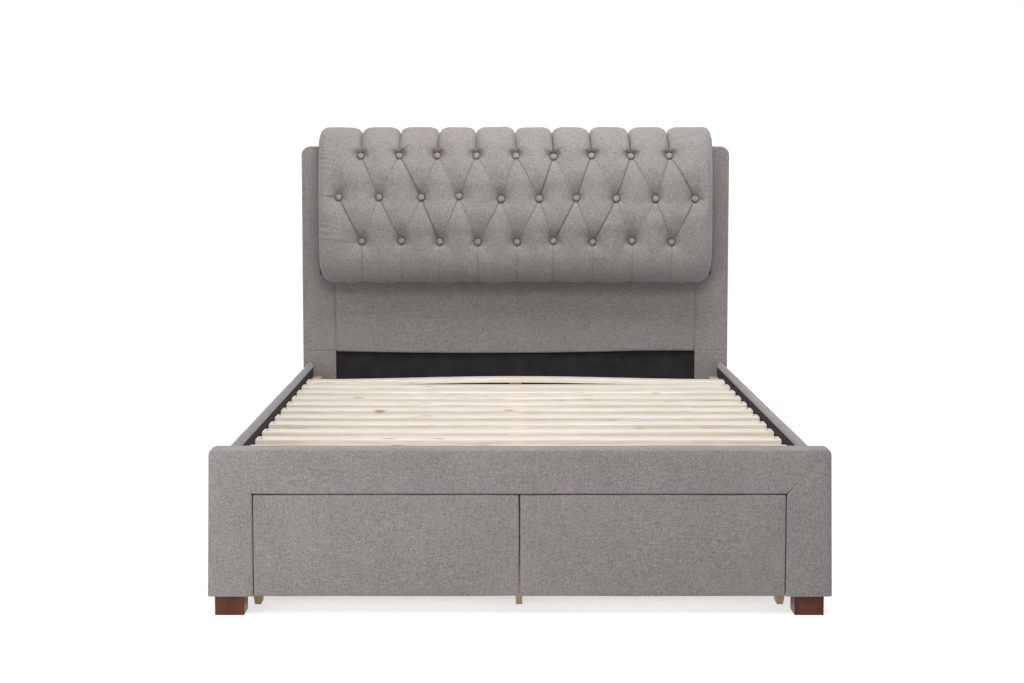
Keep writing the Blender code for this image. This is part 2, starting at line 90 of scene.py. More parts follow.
def make_camera():
    data = bpy.data.cameras.new("camera")
    data.sensor_width = 36.0
    data.lens = CAMERA_LENS
    data.shift_x, data.shift_y = CAMERA_SHIFT
    camera = bpy.data.objects.new("camera", data)
    camera.location = (CAMERA_X, cad_low.y - CAMERA_DISTANCE, CAMERA_HEIGHT)
    camera.rotation_euler = (pi / 2 - CAMERA_PITCH, 0, 0)
    bpy.context.scene.collection.objects.link(camera)
    bpy.context.scene.camera = camera


# Node helpers ---------------------------------------------------------------------------
class Shader:
    """A material's node tree, with short calls for the nodes that every finish needs."""

    def __init__(self, name, roughness, metallic=0.0):
        self.material = bpy.data.materials.new(name)
        self.material.use_nodes = True
        self.nodes = self.material.node_tree.nodes
        self.links = self.material.node_tree.links
        self.bsdf = self.nodes["Principled BSDF"]
        self.bsdf.inputs["Roughness"].default_value = roughness
        self.bsdf.inputs["Metallic"].default_value = metallic
        self.coords = self.nodes.new("ShaderNodeTexCoord").outputs["Object"]

    def feed(self, socket, value):
        if isinstance(value, bpy.types.NodeSocket):
            self.links.new(value, socket)
        else:
            socket.default_value = value

    def stretched(self, scale, offset=(0, 0, 0)):
        node = self.nodes.new("ShaderNodeMapping")
        node.inputs["Scale"].default_value = scale
        node.inputs["Location"].default_value = offset
        self.links.new(self.coords, node.inputs["Vector"])
        return node.outputs["Vector"]

    def noise(self, scale, detail=2.0, roughness=0.5, offset=(0, 0, 0), distortion=0.0):
        if not isinstance(scale, tuple):
            scale = (scale, scale, scale)
        node = self.nodes.new("ShaderNodeTexNoise")
        node.inputs["Scale"].default_value = 1.0
        node.inputs["Detail"].default_value = detail
        node.inputs["Roughness"].default_value = roughness
        node.inputs["Distortion"].default_value = distortion
        self.links.new(self.stretched(scale, offset), node.inputs["Vector"])
        return node.outputs["Fac"]

    def xyz(self, source):
        """The three parts of a vector."""
        node = self.nodes.new("ShaderNodeSeparateXYZ")
        self.links.new(source, node.inputs[0])
        return node.outputs

    def facing(self):
        """The three parts of the surface's direction."""
        return self.xyz(self.nodes.new("ShaderNodeNewGeometry").outputs["Normal"])

    def math(self, operation, first, second=0.0, third=0.0):
        node = self.nodes.new("ShaderNodeMath")
        node.operation = operation
        for socket, value in zip(node.inputs, (first, second, third)):
            self.feed(socket, value)
        return node.outputs[0]

    def blend(self, first, second, share):
        """Sum of two patterns, the first with that share."""
        first, second = self.math('MULTIPLY', first, share), self.math('MULTIPLY', second, 1 - share)
        return self.math('ADD', first, second)

    def spread(self, value, low, high, to_low=0.0, to_high=1.0):
        node = self.nodes.new("ShaderNodeMapRange")
        for socket, given in zip(node.inputs, (value, low, high, to_low, to_high)):
            self.feed(socket, given)
        return node.outputs[0]

    def mix(self, factor, first, second, blend='MIX'):
        node = self.nodes.new("ShaderNodeMix")
        node.data_type = 'RGBA'
        node.blend_type = blend
        self.feed(node.inputs[0], factor)
        for socket, value in ((node.inputs[6], first), (node.inputs[7], second)):
            self.feed(socket, (*value, 1.0) if isinstance(value, tuple) else value)
        return node.outputs[2]

    def tint(self, pattern, dark, pale, low=0.35, high=0.65):
        """Colour that goes from dark to pale as the pattern rises from low to high."""
        return self.mix(self.spread(pattern, low, high), dark, pale)

    def bump(self, height, distance, strength=1.0):
        node = self.nodes.new("ShaderNodeBump")
        node.inputs["Distance"].default_value = distance
        node.inputs["Strength"].default_value = strength
        self.links.new(height, node.inputs["Height"])
        if self.bsdf.inputs["Normal"].links:
            self.links.new(self.bsdf.inputs["Normal"].links[0].from_socket, node.inputs["Normal"])
        self.links.new(node.outputs["Normal"], self.bsdf.inputs["Normal"])

    def colour(self, value):
        self.feed(self.bsdf.inputs["Base Color"], value)

    def rough(self, value):
        self.feed(self.bsdf.inputs["Roughness"], value)

    def set(self, **values):
        for name, value in values.items():
            self.bsdf.inputs[name.replace("_", " ")].default_value = value


# Materials ------------------------------------------------------------------------------
LINEN_DARK = (0.062, 0.056, 0.054)
LINEN_PALE = (0.222, 0.204, 0.197)
# Colour of the painted shade in folds, round the buttons and under the roll.
PAINTED_SHADE_COLOUR = (0.016, 0.014, 0.013)
DEEPEST_PAINTED_SHADE = 0.8            # share of the painted shade colour at the bottom of the sharpest folds
FINE_YARN_SHARE = 0.68
LINEN_PITCH = 0.0011          # from one thread of the weave to the next
LINING_PITCH = 0.0016


def threads(shader, across, along, offset):
    """Heathered yarns: noise drawn out along each axis in turn, a weave on any face."""
    ways = [(along, across, across), (across, across, along), (across, along, across)]
    total = None
    for number, scale in enumerate(ways):
        layer = shader.noise(scale, detail=1.5, offset=(offset + number * 7.3,) * 3)
        total = layer if total is None else shader.math('ADD', total, layer)
    return shader.math('DIVIDE', total, float(len(ways)))


def plain_weave(shader, pitch):
    """Height of a plain weave of that thread pitch on the faces across X, Y and Z."""
    waves = [shader.math('SINE', shader.math('MULTIPLY', place, pi / pitch))
             for place in shader.xyz(shader.coords)]
    facing = shader.facing()
    total = None
    for axis, pair in enumerate(((1, 2), (0, 2), (0, 1))):
        product = shader.math('MULTIPLY', waves[pair[0]], waves[pair[1]])
        share = shader.math('POWER', shader.math('ABSOLUTE', facing[axis]), 3.0)
        layer = shader.math('MULTIPLY', product, share)
        total = layer if total is None else shader.math('ADD', total, layer)
    return total


def linen():
    """Light warm-grey woven upholstery with darker and paler yarns."""
    shader = Shader("grey_linen", 0.93)
    fine = threads(shader, 620.0, 150.0, 3.0)
    coarse = threads(shader, 320.0, 40.0, 41.0)
    yarn = shader.blend(fine, coarse, FINE_YARN_SHARE)
    patches = shader.noise(9.0, detail=3.0, offset=(5, 1, 9))
    uneven = shader.spread(patches, 0.3, 0.7, -0.04, 0.04)
    tone = shader.math('ADD', shader.spread(yarn, 0.36, 0.64), uneven)
    # The fold attribute holds painted shade: it darkens the cloth's colour in folds, round the buttons
    # and along the roll's bottom rim.
    fold = shader.nodes.new("ShaderNodeAttribute")
    fold.attribute_name = "fold"
    painted_shade_share = shader.math('MULTIPLY', fold.outputs["Fac"], DEEPEST_PAINTED_SHADE)
    shader.colour(shader.mix(painted_shade_share, shader.mix(tone, LINEN_DARK, LINEN_PALE), PAINTED_SHADE_COLOUR))
    height = shader.math('ADD', shader.math('MULTIPLY', plain_weave(shader, LINEN_PITCH), 0.35), yarn)
    shader.bump(height, 0.0005, 0.6)
    shader.set(Sheen_Weight=0.2, Sheen_Roughness=0.5, Specular_IOR_Level=0.2)
    return shader.material


def lining_cloth():
    """Black spun-bonded cloth with its fine dimpled print."""
    shader = Shader("black_lining_cloth", 0.88)
    fibres = shader.noise(900.0, detail=3.0)
    clouds = shader.noise(22.0, detail=3.0, offset=(3, 3, 3))
    mixed = shader.blend(fibres, clouds, 0.4)
    shader.colour(shader.tint(mixed, (0.009, 0.009, 0.009), (0.018, 0.016, 0.017)))
    shader.bump(plain_weave(shader, LINING_PITCH), 0.0003, 0.7)
    shader.bump(fibres, 0.0004, 0.6)
    shader.set(Sheen_Weight=0.03, Specular_IOR_Level=0.12)
    return shader.material


STREAK = (0.30, 0.19, 0.11)
KNOT = (0.20, 0.085, 0.03)


def pine(name, pale, warm, along='X', top_painted_shade=(1.0, 1.0, 1.0)):
    """Planed pine: growth rings cut lengthways, fine pores, dark streaks and a few brown knots.
    The faces that look up are painted darker and cooler: painted shade."""
    def lengthways(length, cross):
        return (length, cross, cross) if along == 'X' else (cross, length, cross)

    shader = Shader(name, 0.55)
    scale = lengthways(1.6, 34.0)
    drift = shader.noise(lengthways(0.4, 8.5), detail=2.0, offset=(2, 5, 8))
    rings = shader.noise(scale, detail=4.0, roughness=0.55, distortion=0.6)
    bands = shader.math('FRACT', shader.math('MULTIPLY', shader.math('ADD', rings, drift), 5.0))
    bands = shader.math('PINGPONG', bands, 0.5)
    pores = shader.noise(lengthways(14.4, 306.0), detail=2.0, offset=(1, 4, 2))
    grain = shader.math('ADD', shader.math('MULTIPLY', bands, 1.1), shader.math('MULTIPLY', pores, 0.45))
    colour = shader.tint(grain, pale, warm, 0.15, 0.95)
    streaks = shader.noise(lengthways(12.8, 272.0), detail=1.0, offset=(6, 3, 1))
    colour = shader.mix(shader.spread(streaks, 0.66, 0.74, 0.0, 0.5), colour, STREAK)
    node = shader.nodes.new("ShaderNodeTexVoronoi")
    node.inputs["Scale"].default_value = 1.0
    node.inputs["Randomness"].default_value = 1.0
    shader.links.new(shader.stretched(lengthways(4.5, 13.0), (0.37, 0.91, 0.2)), node.inputs["Vector"])
    knot = shader.spread(node.outputs["Distance"], 0.050, 0.11, 1.0, 0.0)
    colour = shader.mix(shader.math('MULTIPLY', knot, 0.85), colour, KNOT)
    # Painted shade on the faces that look up: their colour is multiplied darker and cooler.
    upward = shader.spread(shader.facing()["Z"], 0.5, 0.9)
    shader.colour(shader.mix(upward, colour, shader.mix(1.0, colour, top_painted_shade, 'MULTIPLY')))
    shader.rough(shader.spread(grain, 0.0, 1.2, 0.48, 0.66))
    shader.bump(grain, 0.0004, 0.5)
    shader.set(Specular_IOR_Level=0.35)
    return shader.material


def stained_wood():
    """Dark red-brown lacquered wood of the block feet."""
    shader = Shader("stained_wood", 0.34)
    rings = shader.noise((42.0, 42.0, 5.0), detail=4.0, distortion=0.4)
    pores = shader.noise((420.0, 420.0, 26.0), detail=2.0)
    grain = shader.blend(rings, pores, 0.75)
    shader.colour(shader.tint(grain, (0.034, 0.0085, 0.0042), (0.080, 0.020, 0.0088)))
    shader.rough(shader.spread(grain, 0.3, 0.7, 0.30, 0.42))
    shader.bump(grain, 0.0002, 0.5)
    shader.set(Coat_Weight=0.06, Coat_Roughness=0.35, Specular_IOR_Level=0.2)
    return shader.material


def drawer_board():
    """Pale wood-grain board of the drawer boxes."""
    shader = Shader("drawer_board", 0.5)
    grain = shader.noise((30.0, 2.2, 60.0), detail=4.0, distortion=0.8)
    fibres = shader.noise((400.0, 20.0, 400.0), detail=2.0)
    mixed = shader.blend(grain, fibres, 0.7)
    shader.colour(shader.tint(mixed, (0.50, 0.40, 0.285), (0.66, 0.56, 0.43)))
    shader.bump(mixed, 0.0002, 0.5)
    return shader.material


def zinc_steel():
    """Zinc-plated pressed steel, drawn along the bed."""
    shader = Shader("zinc_steel", 0.32, 1.0)
    drawn = shader.noise((700.0, 9.0, 700.0), detail=2.0)
    spangle = shader.noise(90.0, detail=1.0, offset=(4, 4, 4))
    shader.colour(shader.tint(spangle, (0.50, 0.52, 0.55), (0.66, 0.67, 0.69)))
    shader.rough(shader.spread(drawn, 0.3, 0.7, 0.24, 0.42))
    shader.bump(drawn, 0.0001, 0.4)
    return shader.material


def blackened_steel():
    """Phosphated screw heads."""
    shader = Shader("blackened_steel", 0.45, 0.85)
    speckle = shader.noise(1500.0, detail=2.0)
    shader.colour(shader.mix(speckle, (0.07, 0.065, 0.06), (0.16, 0.15, 0.14)))
    shader.bump(speckle, 0.0001, 0.4)
    return shader.material


FLOOR_GLOW = 0.68             # emission of the floor, painted light: the floor glows though it is no lamp
GLOW_IN_PAINTED_BED_SHADOW = 0.25         # share of it that is left within the bed's outline, a painted shadow of the bed


def pale_glowing_floor():
    """White floor that glows, painted light, with a painted shadow of the bed where the glow is weaker
    within its outline.
    """
    shader = Shader("pale_glowing_floor", 0.75)
    mottle = shader.noise(3.0, detail=4.0)
    shader.colour(shader.mix(mottle, (0.33, 0.33, 0.33), (0.37, 0.37, 0.37)))
    place = shader.xyz(shader.coords)
    # Painted shadow of the bed: a mask within the bed's outline lowers the glow.
    within_x = shader.spread(shader.math('ABSOLUTE', place["X"]), 0.74, 0.56)
    behind_front = shader.spread(place["Y"], -0.92, -0.55)
    before_head = shader.spread(place["Y"], 1.02, 0.85)
    under = shader.math('MULTIPLY', shader.math('MULTIPLY', within_x, behind_front), before_head)
    shader.feed(shader.bsdf.inputs["Emission Strength"],
                shader.spread(under, 0.0, 1.0, FLOOR_GLOW, FLOOR_GLOW * GLOW_IN_PAINTED_BED_SHADOW))
    shader.set(Specular_IOR_Level=0.1, Emission_Color=(1.0, 1.0, 1.0, 1.0))
    return shader.material


# Mesh helpers ---------------------------------------------------------------------------
def mesh_object(name, points, faces, material, sharp_angle=55, fold=None):
    """A piece whose mesh is already in its place, with its finish."""
    mesh = bpy.data.meshes.new(name)
    mesh.from_pydata([tuple(p) for p in points], [], faces)
    # The fold values are painted shade for the cloth's colour.
    if fold is not None:
        attribute = mesh.attributes.new("fold", 'FLOAT', 'POINT')
        attribute.data.foreach_set("value", fold.astype(np.float32))
    bm = bmesh.new()
    bm.from_mesh(mesh)
    bmesh.ops.remove_doubles(bm, verts=bm.verts, dist=2e-5)
    bmesh.ops.recalc_face_normals(bm, faces=bm.faces)
    bm.to_mesh(mesh)
    bm.free()
    mesh.shade_smooth()
    mesh.set_sharp_from_angle(angle=radians(sharp_angle))
    mesh.materials.append(material)
    obj = bpy.data.objects.new(name, mesh)
    bpy.context.scene.collection.objects.link(obj)
    return obj


def stations(low, high, step, marks=(), edge=0.0):
    """Grid positions from low to high: evenly spaced, closer in the round edges and at marks."""
    values = list(np.linspace(low, high, max(2, ceil((high - low) / step) + 1)))
    if edge:
        for share in (0.0, 0.12, 0.3, 0.5, 0.75, 1.0):
            values += [low + edge * share, high - edge * share]
    for mark in marks:
        values += [mark + offset for offset in (-0.006, -0.003, -0.0012, 0.0, 0.0012, 0.003, 0.006)]
    values = sorted(v for v in values if low <= v <= high)
    kept = [values[0]]
    for value in values[1:]:
        if value - kept[-1] > 0.0008:
            kept.append(value)
    kept[-1] = high
    return np.array(kept)


def grid_faces(rows, columns, start=0, wrap=False):
    faces = []
    for row in range(rows - 1):
        for column in range(columns if wrap else columns - 1):
            a = start + row * columns + column
            b = start + row * columns + (column + 1) % columns
            faces.append((a, b, b + columns, a + columns))
    return faces


def box_shell(xs, ys, zs):
    """Points and faces of a closed box with grid lines at the given places."""
    points = []
    faces = []
    for axis, (first, second) in enumerate(((1, 2), (0, 2), (0, 1))):
        lines = (xs, ys, zs)
        for end in (0, -1):
            u, v = np.meshgrid(lines[first], lines[second])
            block = np.empty((u.size, 3))
            block[:, axis] = lines[axis][end]
            block[:, first] = u.ravel()
            block[:, second] = v.ravel()
            faces += grid_faces(u.shape[0], u.shape[1], start=sum(len(p) for p in points))
            points.append(block)
    return np.concatenate(points), faces


def rounded(points, low, high, radius):
    """Box points moved onto a box with round edges, and the outward direction at each."""
    low = np.array(low, float)
    high = np.array(high, float)
    radius = np.minimum(radius, (high - low) / 2 - 1e-4)
    core = np.clip(points, low + radius, high - radius)
    away = (points - core) / radius
    length = np.maximum(np.linalg.norm(away, axis=1, keepdims=True), 1e-9)
    normal = away / length
    return core + normal * radius, normal


def ripple(points, size, seed):
    """Smooth, repeatable unevenness between -1 and 1, about as long as size."""
    draw = np.random.default_rng(seed)
    total = np.zeros(len(points))
    for _ in range(7):
        direction = draw.normal(size=3)
        direction /= np.linalg.norm(direction)
        length = size * draw.uniform(0.7, 1.6)
        total += np.sin(points @ direction * (2 * pi / length) + draw.uniform(0, 2 * pi))
    return total / 3.5


def uneven(points, size, seed, depth):
    """Dents between 0 and about twice that depth."""
    return depth * (1 + ripple(points, size, seed))


def turn(start, stop, steps):
    """Evenly spaced angles, given in degrees."""
    return np.radians(np.linspace(start, stop, steps))


def arc(centre, reach, start, stop, steps, power=2):
    """Points on a curve about a centre, between two angles: an ellipse, or squarer at a higher power."""
    points = []
    for a in turn(start, stop, steps):
        first = abs(cos(a)) ** (2 / power) * (1 if cos(a) >= 0 else -1)
        second = abs(sin(a)) ** (2 / power) * (1 if sin(a) >= 0 else -1)
        points.append((centre[0] + reach[0] * first, centre[1] + reach[1] * second))
    return points


def quarter(centre, radius, start, stop, steps):
    """Points round a part of a circle."""
    return arc(centre, (radius, radius), start, stop, steps)


def near(distance, width, power=2):
    """1 on a line and falling smoothly to 0 beside it."""
    return np.exp(-(distance / width) ** power)


def swept(first, second, stations_along, axis):
    """Grid of points: a line of two coordinates repeated at places along the third axis."""
    points = np.empty((len(first), len(stations_along), 3))
    others = [other for other in range(3) if other != axis]
    points[:, :, others[0]] = first[:, None]
    points[:, :, others[1]] = second[:, None]
    points[:, :, axis] = stations_along[None, :]
    return points


def shell(name, outer, inner, material, slot="upholstery"):
    """Closed skin between two grids of points of the same size."""
    rows, columns = outer.shape[:2]
    count = rows * columns
    points = np.concatenate([outer.reshape(-1, 3), inner.reshape(-1, 3)])
    faces = grid_faces(rows, columns)
    faces += [tuple(v + count for v in reversed(face)) for face in faces]
    border = list(range(columns))
    border += [row * columns + columns - 1 for row in range(1, rows)]
    border += [(rows - 1) * columns + column for column in range(columns - 2, -1, -1)]
    border += [row * columns for row in range(rows - 2, 0, -1)]
    for a, b in zip(border, border[1:] + border[:1]):
        faces.append((a, b, b + count, a + count))
    return mesh_object(name, points, faces, material)


BLOCK_CROWN = 0.0010
BLOCK_UNEVEN = 0.0005
BLOCK_CELL = 0.012


def soft_block(name, low, high, radius, material, seed):
    """Padded board: round edges, faces slightly crowned and uneven."""
    low = np.array(low, float)
    high = np.array(high, float)
    lines = [stations(low[axis], high[axis], BLOCK_CELL, edge=radius) for axis in range(3)]
    flat, faces = box_shell(*lines)
    points, normal = rounded(flat, low, high, radius)
    share = np.abs((flat - (low + high) / 2) / ((high - low) / 2))
    share = np.sort(share, axis=1)
    inner = (1 - share[:, 0] ** 2) * (1 - share[:, 1] ** 4)
    lift = BLOCK_CROWN * (inner - 1.0) + BLOCK_UNEVEN * (ripple(points, 0.16, seed) - 1.0)
    return mesh_object(name, points + normal * lift[:, None], faces, material)


def declare(piece, body, *replaced, fill):
    """Rides the piece on its body and hides the CAD nodes it stands for."""
    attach(piece, body)
    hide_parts(*replaced)


# Tufted roll ----------------------------------------------------------------------------
ROW_HEIGHTS = (1.1015, 0.954, 0.8065)
ROW_PITCHES = (0.1276, 0.1313, 0.1297)
TIED_OFF = (                 # how far each button is tied from its even place, in mm: across, up
    ((-3.5, -1), (-3, 0), (-5, 0), (-2, 0), (1, 0), (-1, -4), (-3, 0), (0, -2), (0, -1)),
    ((4.5, 3), (6.5, 3), (15.5, 2), (9.5, 6), (17.5, -3), (13.5, -2), (4.5, 0), (5.5, -2), (5.5, -3),
     (4.5, -3)),
    ((8, 1), (10.5, 2), (7.5, -1), (4.5, -2), (5, -2), (-4, 2), (-3, -2), (-2, 2), (0, -3)),
)
FOLDED = (                   # how sharp the fold down from each button is: to its right, to its left
    ((0.6, 1.0, 0.3, 0.35, 0.6, 0.3, 0.25, 0.5, 0.9), (0.0, 0.35, 0.3, 0.6, 0.35, 0.9, 0.8, 0.75, 0.55)),
    ((0.85, 0.6, 0.95, 0.4, 0.3, 0.5, 0.5, 0.25, 0.55), (0.3, 0.3, 0.5, 0.55, 0.5, 0.9, 0.9, 0.35, 0.7)),
)
EARS = (                     # short folds beside the top buttons, left and right: how sharp, rise in mm
    ((0.4, 3), (0.5, 4)), ((0.5, 2), (1.0, 22)), ((0.4, 5), (0.5, 6)), ((0.3, 3), (0.3, 1)),
    ((0.3, 1), (0.3, 4)), ((1.0, 7), (0.9, 20)), ((0.7, 5), (0.9, 4)), ((0.7, 6), (0.7, 3)),
    ((0.5, 4), (0.6, 6)),
)
# painted shade along the pleat above each button of the top row
PLEAT_SHADE = (0.50, 0.60, 0.55, 0.55, 0.50, 0.95, 0.90, 0.90, 0.85)
PLEAT_LEAN = (2, 2, 6, -2, -2, -5, -6, -6, -4)   # sideways at the top of the roll, in mm
BUTTON_RADIUS = 0.0113
BUTTON_OUTLINE = (           # share of the radius, and height
    (0.0, 0.0060), (0.30, 0.0058), (0.55, 0.0051), (0.78, 0.0037), (0.93, 0.0018), (1.0, -0.0004),
    (0.97, -0.0024), (0.85, -0.0040), (0.0, -0.0040),
)
BUTTON_SEAT = 0.0035         # from the bottom of the pit to the middle of the button
FRONT_HEIGHT = 0.870         # where the roll stands out furthest
CELL_ACROSS = 0.00245
CELL_ALONG = 0.0035
PLAIN_CELL = 0.010
CLOTH_CELL = 0.0065
PIT_DEPTH = 0.031
CREASE_DEPTH = 0.0085
CREASE_WIDTH = 0.0029
SHADE_WIDTH = 0.0024         # half width of the painted dark line at the bottom of a fold
# painted shade at the bottom of the folds and along the hems
FOLD_SHADE = 0.80
HEM_SHADE = 0.38
RAYS = 11                    # small puckers that radiate from a button
RAY_DEPTH = 0.0009
PLEAT_DEPTH = 0.027
PLEAT_SHOULDER = 0.034
PUCKER_PITCH = 0.014         # small puckers along the pleats
PUCKER_DEPTH = 0.0011
GATHER_PITCH = 0.0150        # small gathers along the roll's ends
GATHER_DEPTH = 0.0018
PIT_REACH = 0.017
PIT_REACH_ABOVE = (0.011, 0.032, 0.030)
PIT_REACH_BELOW = 0.015
END_RADII = (                # rounding of the roll's ends, by the share of the way from its lower edge
    (0.0, 0.05, 0.13, 0.22, 0.75, 1.0),
    (0.072, 0.066, 0.048, 0.025, 0.025, 0.028),
)
CLOTH_PRESSURE = 8.0
CLOTH_EXCESS = 0.03          # how much longer the cloth is cut than the shape it starts from
CLOTH_FRAMES = 20
SMOOTHING = 4                # passes over the simulated move, against fine crumples
CLOTH_CAP = 0.012            # furthest that the simulation may move the cloth
ROLL_SAG = 0.011             # how far the cloth hangs below the solid of the roll
UNDERFILL = 0.006            # how much smaller the pillows start before they are inflated
RIM_HEIGHT = 0.0055          # height of the painted dark rim, painted shade where the cloth turns under the roll
RIM_SHADE = 0.85
RING_SHADE = 0.5             # painted shade round each button
TUCK_SHADE = 0.6             # painted shade where the cloth is tucked in above the buttons of the top row


def roll_profile():
    """Side profile (y, z) of the roll's cloth: from under its lower edge, up the front and over."""
    low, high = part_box("headboard_roll")
    low.z -= ROLL_SAG
    face_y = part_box("headboard_panel_cover")[0].y
    points = [(face_y - 0.001, low.z + 0.022), (face_y - 0.005, low.z + 0.009)]
    points += arc((low.y + 0.085, FRONT_HEIGHT), (0.085, FRONT_HEIGHT - low.z), -80, -180, 60, 2.5)
    points += arc((low.y + 0.130, FRONT_HEIGHT), (0.130, high.z - FRONT_HEIGHT), 180, 90, 90, 2.5)[1:]
    points += arc((high.y - 0.086, high.z - 0.052), (0.0855, 0.052), 82, 0, 14)
    points.append((high.y - 0.0005, high.z - 0.066))
    points = np.array(points)
    along = np.concatenate([[0], np.cumsum(np.linalg.norm(np.diff(points, axis=0), axis=1))])
    places = np.linspace(0, along[-1], int(along[-1] / 0.001))
    return np.stack([np.interp(places, along, points[:, k]) for k in range(2)], axis=1), places


def segment_distance(x, s, start, end):
    """Distance of grid points to a straight fold, and how far along it each one is."""
    start = np.array(start)
    direction = np.array(end) - start
    length = np.linalg.norm(direction)
    direction /= length
    along = np.clip(((x - start[0]) * direction[0] + (s - start[1]) * direction[1]) / length, 0, 1)
    reached = along * length
    distance = np.hypot(x - start[0] - reached * direction[0], s - start[1] - reached * direction[1])
    return distance, along


class Tufts:
    """Places of the buttons and of the folds between them, with a listed unevenness."""

    def __init__(self, profile, along):
        self.length = along[-1]
        front = (profile[:, 1] > profile[:, 1].min() + 0.03) & (along < self.length * 0.8)
        self.rows = []
        for height, pitch, offsets in zip(ROW_HEIGHTS, ROW_PITCHES, TIED_OFF):
            s_row = float(np.interp(height, profile[front, 1], along[front]))
            middle = (len(offsets) - 1) / 2
            self.rows.append([((column - middle) * pitch + across / 1000, s_row + up / 1000)
                              for column, (across, up) in enumerate(offsets)])
        self.folds = []
        for upper_row, lower_row, sharpness in zip(self.rows, self.rows[1:], FOLDED):
            for way, strengths in zip((1, -1), sharpness):
                pairs = [(upper, lower) for upper in upper_row for lower in lower_row
                         if 0 < way * (lower[0] - upper[0]) < 0.75 * ROW_PITCHES[1]]
                self.folds += [(*pair, strength) for pair, strength in zip(pairs, strengths)]
        self.ears = []
        for (bx, bs), sides in zip(self.rows[0], EARS):
            for way, (strength, rise) in zip((-1, 1), sides):
                reach = 0.018 + 0.018 * strength
                self.ears.append(((bx, bs + 0.011), (bx + way * reach, bs + 0.011 + rise / 1000),
                                  0.003 + 0.012 * strength))
        for way, row, amount in ((-1, 1, 0.010), (1, 1, 0.006), (-1, 2, 0.004)):
            bx, bs = self.rows[row][0 if way < 0 else -1]
            self.ears.append(((bx, bs), (way * 0.66, bs + 0.008), amount))
        self.hems = [((bx, bs), (bx + rng.uniform(-0.004, 0.004), 0.0), rng.uniform(0.5, 1.0))
                     for bx, bs in self.rows[2]]

    @staticmethod
    def kept(strength, t):
        """What is left of a fold on its way down: the sharp ones run through, the others die away."""
        return np.clip(1.2 - (1.35 - 1.2 * strength) * t * 1.3, 0, 1) * min(1.0, 0.25 + strength)

    def pleat(self, number, s):
        """Where the pleat above a button of the top row runs."""
        bx, bs = self.rows[0][number]
        return bx + PLEAT_LEAN[number] / 1000 * np.clip((s - bs) / 0.10, 0, 1)

    def depth(self, x, s, creased):
        """How far the cloth is drawn in at each point, with or without its sharp creases."""
        depth = np.zeros_like(x)

        def draw_in(amount, power=3):
            nonlocal depth
            depth = (depth ** power + np.maximum(amount, 0) ** power) ** (1 / power)

        for row, above in zip(self.rows, PIT_REACH_ABOVE):
            for bx, bs in row:
                radius = np.hypot(x - bx, s - bs)
                upright = ((s - bs) / np.maximum(radius, 1e-6)) ** 2
                reach = PIT_REACH + (np.where(s > bs, above, PIT_REACH_BELOW) - PIT_REACH) * upright
                outside = np.maximum(radius - BUTTON_RADIUS, 0) / reach
                draw_in(PIT_DEPTH * near(outside, 1, 1.05))
        for upper, lower, strength in self.folds:
            distance, t = segment_distance(x, s, upper, lower)
            draw_in((0.0050 + 0.0045 * (2 * t - 1) ** 2) * near(distance, 0.017))
            if creased:
                draw_in(CREASE_DEPTH * self.kept(strength, t) * near(distance, CREASE_WIDTH, 1.5), 1.4)
        for number, (bx, bs) in enumerate(self.rows[0]):
            away = np.abs(x - self.pleat(number, s))
            edge = np.clip(1 - away / PLEAT_SHOULDER, 0, 1)
            rounding = 1 - (1 - edge ** 1.6) ** (1 / 1.6)
            begun = np.clip((s - bs + 0.004) / 0.024, 0, 1)
            fade = 1 - 0.6 * np.clip((s - (self.length - 0.05)) / 0.05, 0, 1)
            draw_in(PLEAT_DEPTH * rounding * begun * fade)
            if creased:
                pucker = np.sin(s * 2 * pi / PUCKER_PITCH + bx * 40) * near(away - 0.007, 0.006)
                depth += PUCKER_DEPTH * pucker * begun * np.clip((self.length - 0.06 - s) / 0.05, 0, 1)
        if creased:
            for number, (bx, bs) in enumerate(sum(self.rows[1:], [])):
                radius = np.hypot(x - bx, s - bs)
                rays = np.sin(RAYS * np.arctan2(x - bx, s - bs) + 2.3 * number)
                depth += RAY_DEPTH * rays * near(radius - 0.021, 0.011)
        for start, end, amount in self.ears:
            distance, t = segment_distance(x, s, start, end)
            draw_in(amount * (1 - t) ** 0.8 * near(distance, 0.0045 + 0.003 * (1 - t), 1.4))
        for start, end, amount in self.hems:
            distance, t = segment_distance(x, s, start, end)
            draw_in((0.0028 + 0.0030 * t) * near(distance, 0.024))
            if creased:
                draw_in(0.0034 * amount * near(distance, CREASE_WIDTH, 1.5), 1.4)
        return np.maximum(depth, 0)

    def shade(self, x, s):
        """Painted shade of the cloth, from 0 to 1: dark lines in its folds, pleats, ears and hems, rings
        round the buttons and tucks above the top row.
        """
        dark = np.zeros_like(x)

        def darken(amount, distance, width):
            np.maximum(dark, amount * near(distance, width), out=dark)

        for bx, bs in sum(self.rows, []):
            darken(RING_SHADE, np.hypot(x - bx, s - bs) - BUTTON_RADIUS - 0.001, 0.0025)
        for bx, bs in self.rows[0]:
            darken(TUCK_SHADE, np.hypot((x - bx) / 2.2, s - bs - 0.014), 0.008)
        for upper, lower, strength in self.folds:
            distance, t = segment_distance(x, s, upper, lower)
            darken(FOLD_SHADE * self.kept(strength, t), distance, SHADE_WIDTH)
        for number, (bx, bs) in enumerate(self.rows[0]):
            begun = np.clip((s - bs) / 0.012, 0, 1) * PLEAT_SHADE[number]
            darken(begun, x - self.pleat(number, s), 0.0028)
        for start, end, amount in self.ears:
            distance, t = segment_distance(x, s, start, end)
            darken(min(1.0, amount / 0.0115) * (1 - t) ** 0.6, distance, 0.0032)
        for start, end, amount in self.hems:
            distance, t = segment_distance(x, s, start, end)
            darken(HEM_SHADE * amount, distance, SHADE_WIDTH)
        return dark


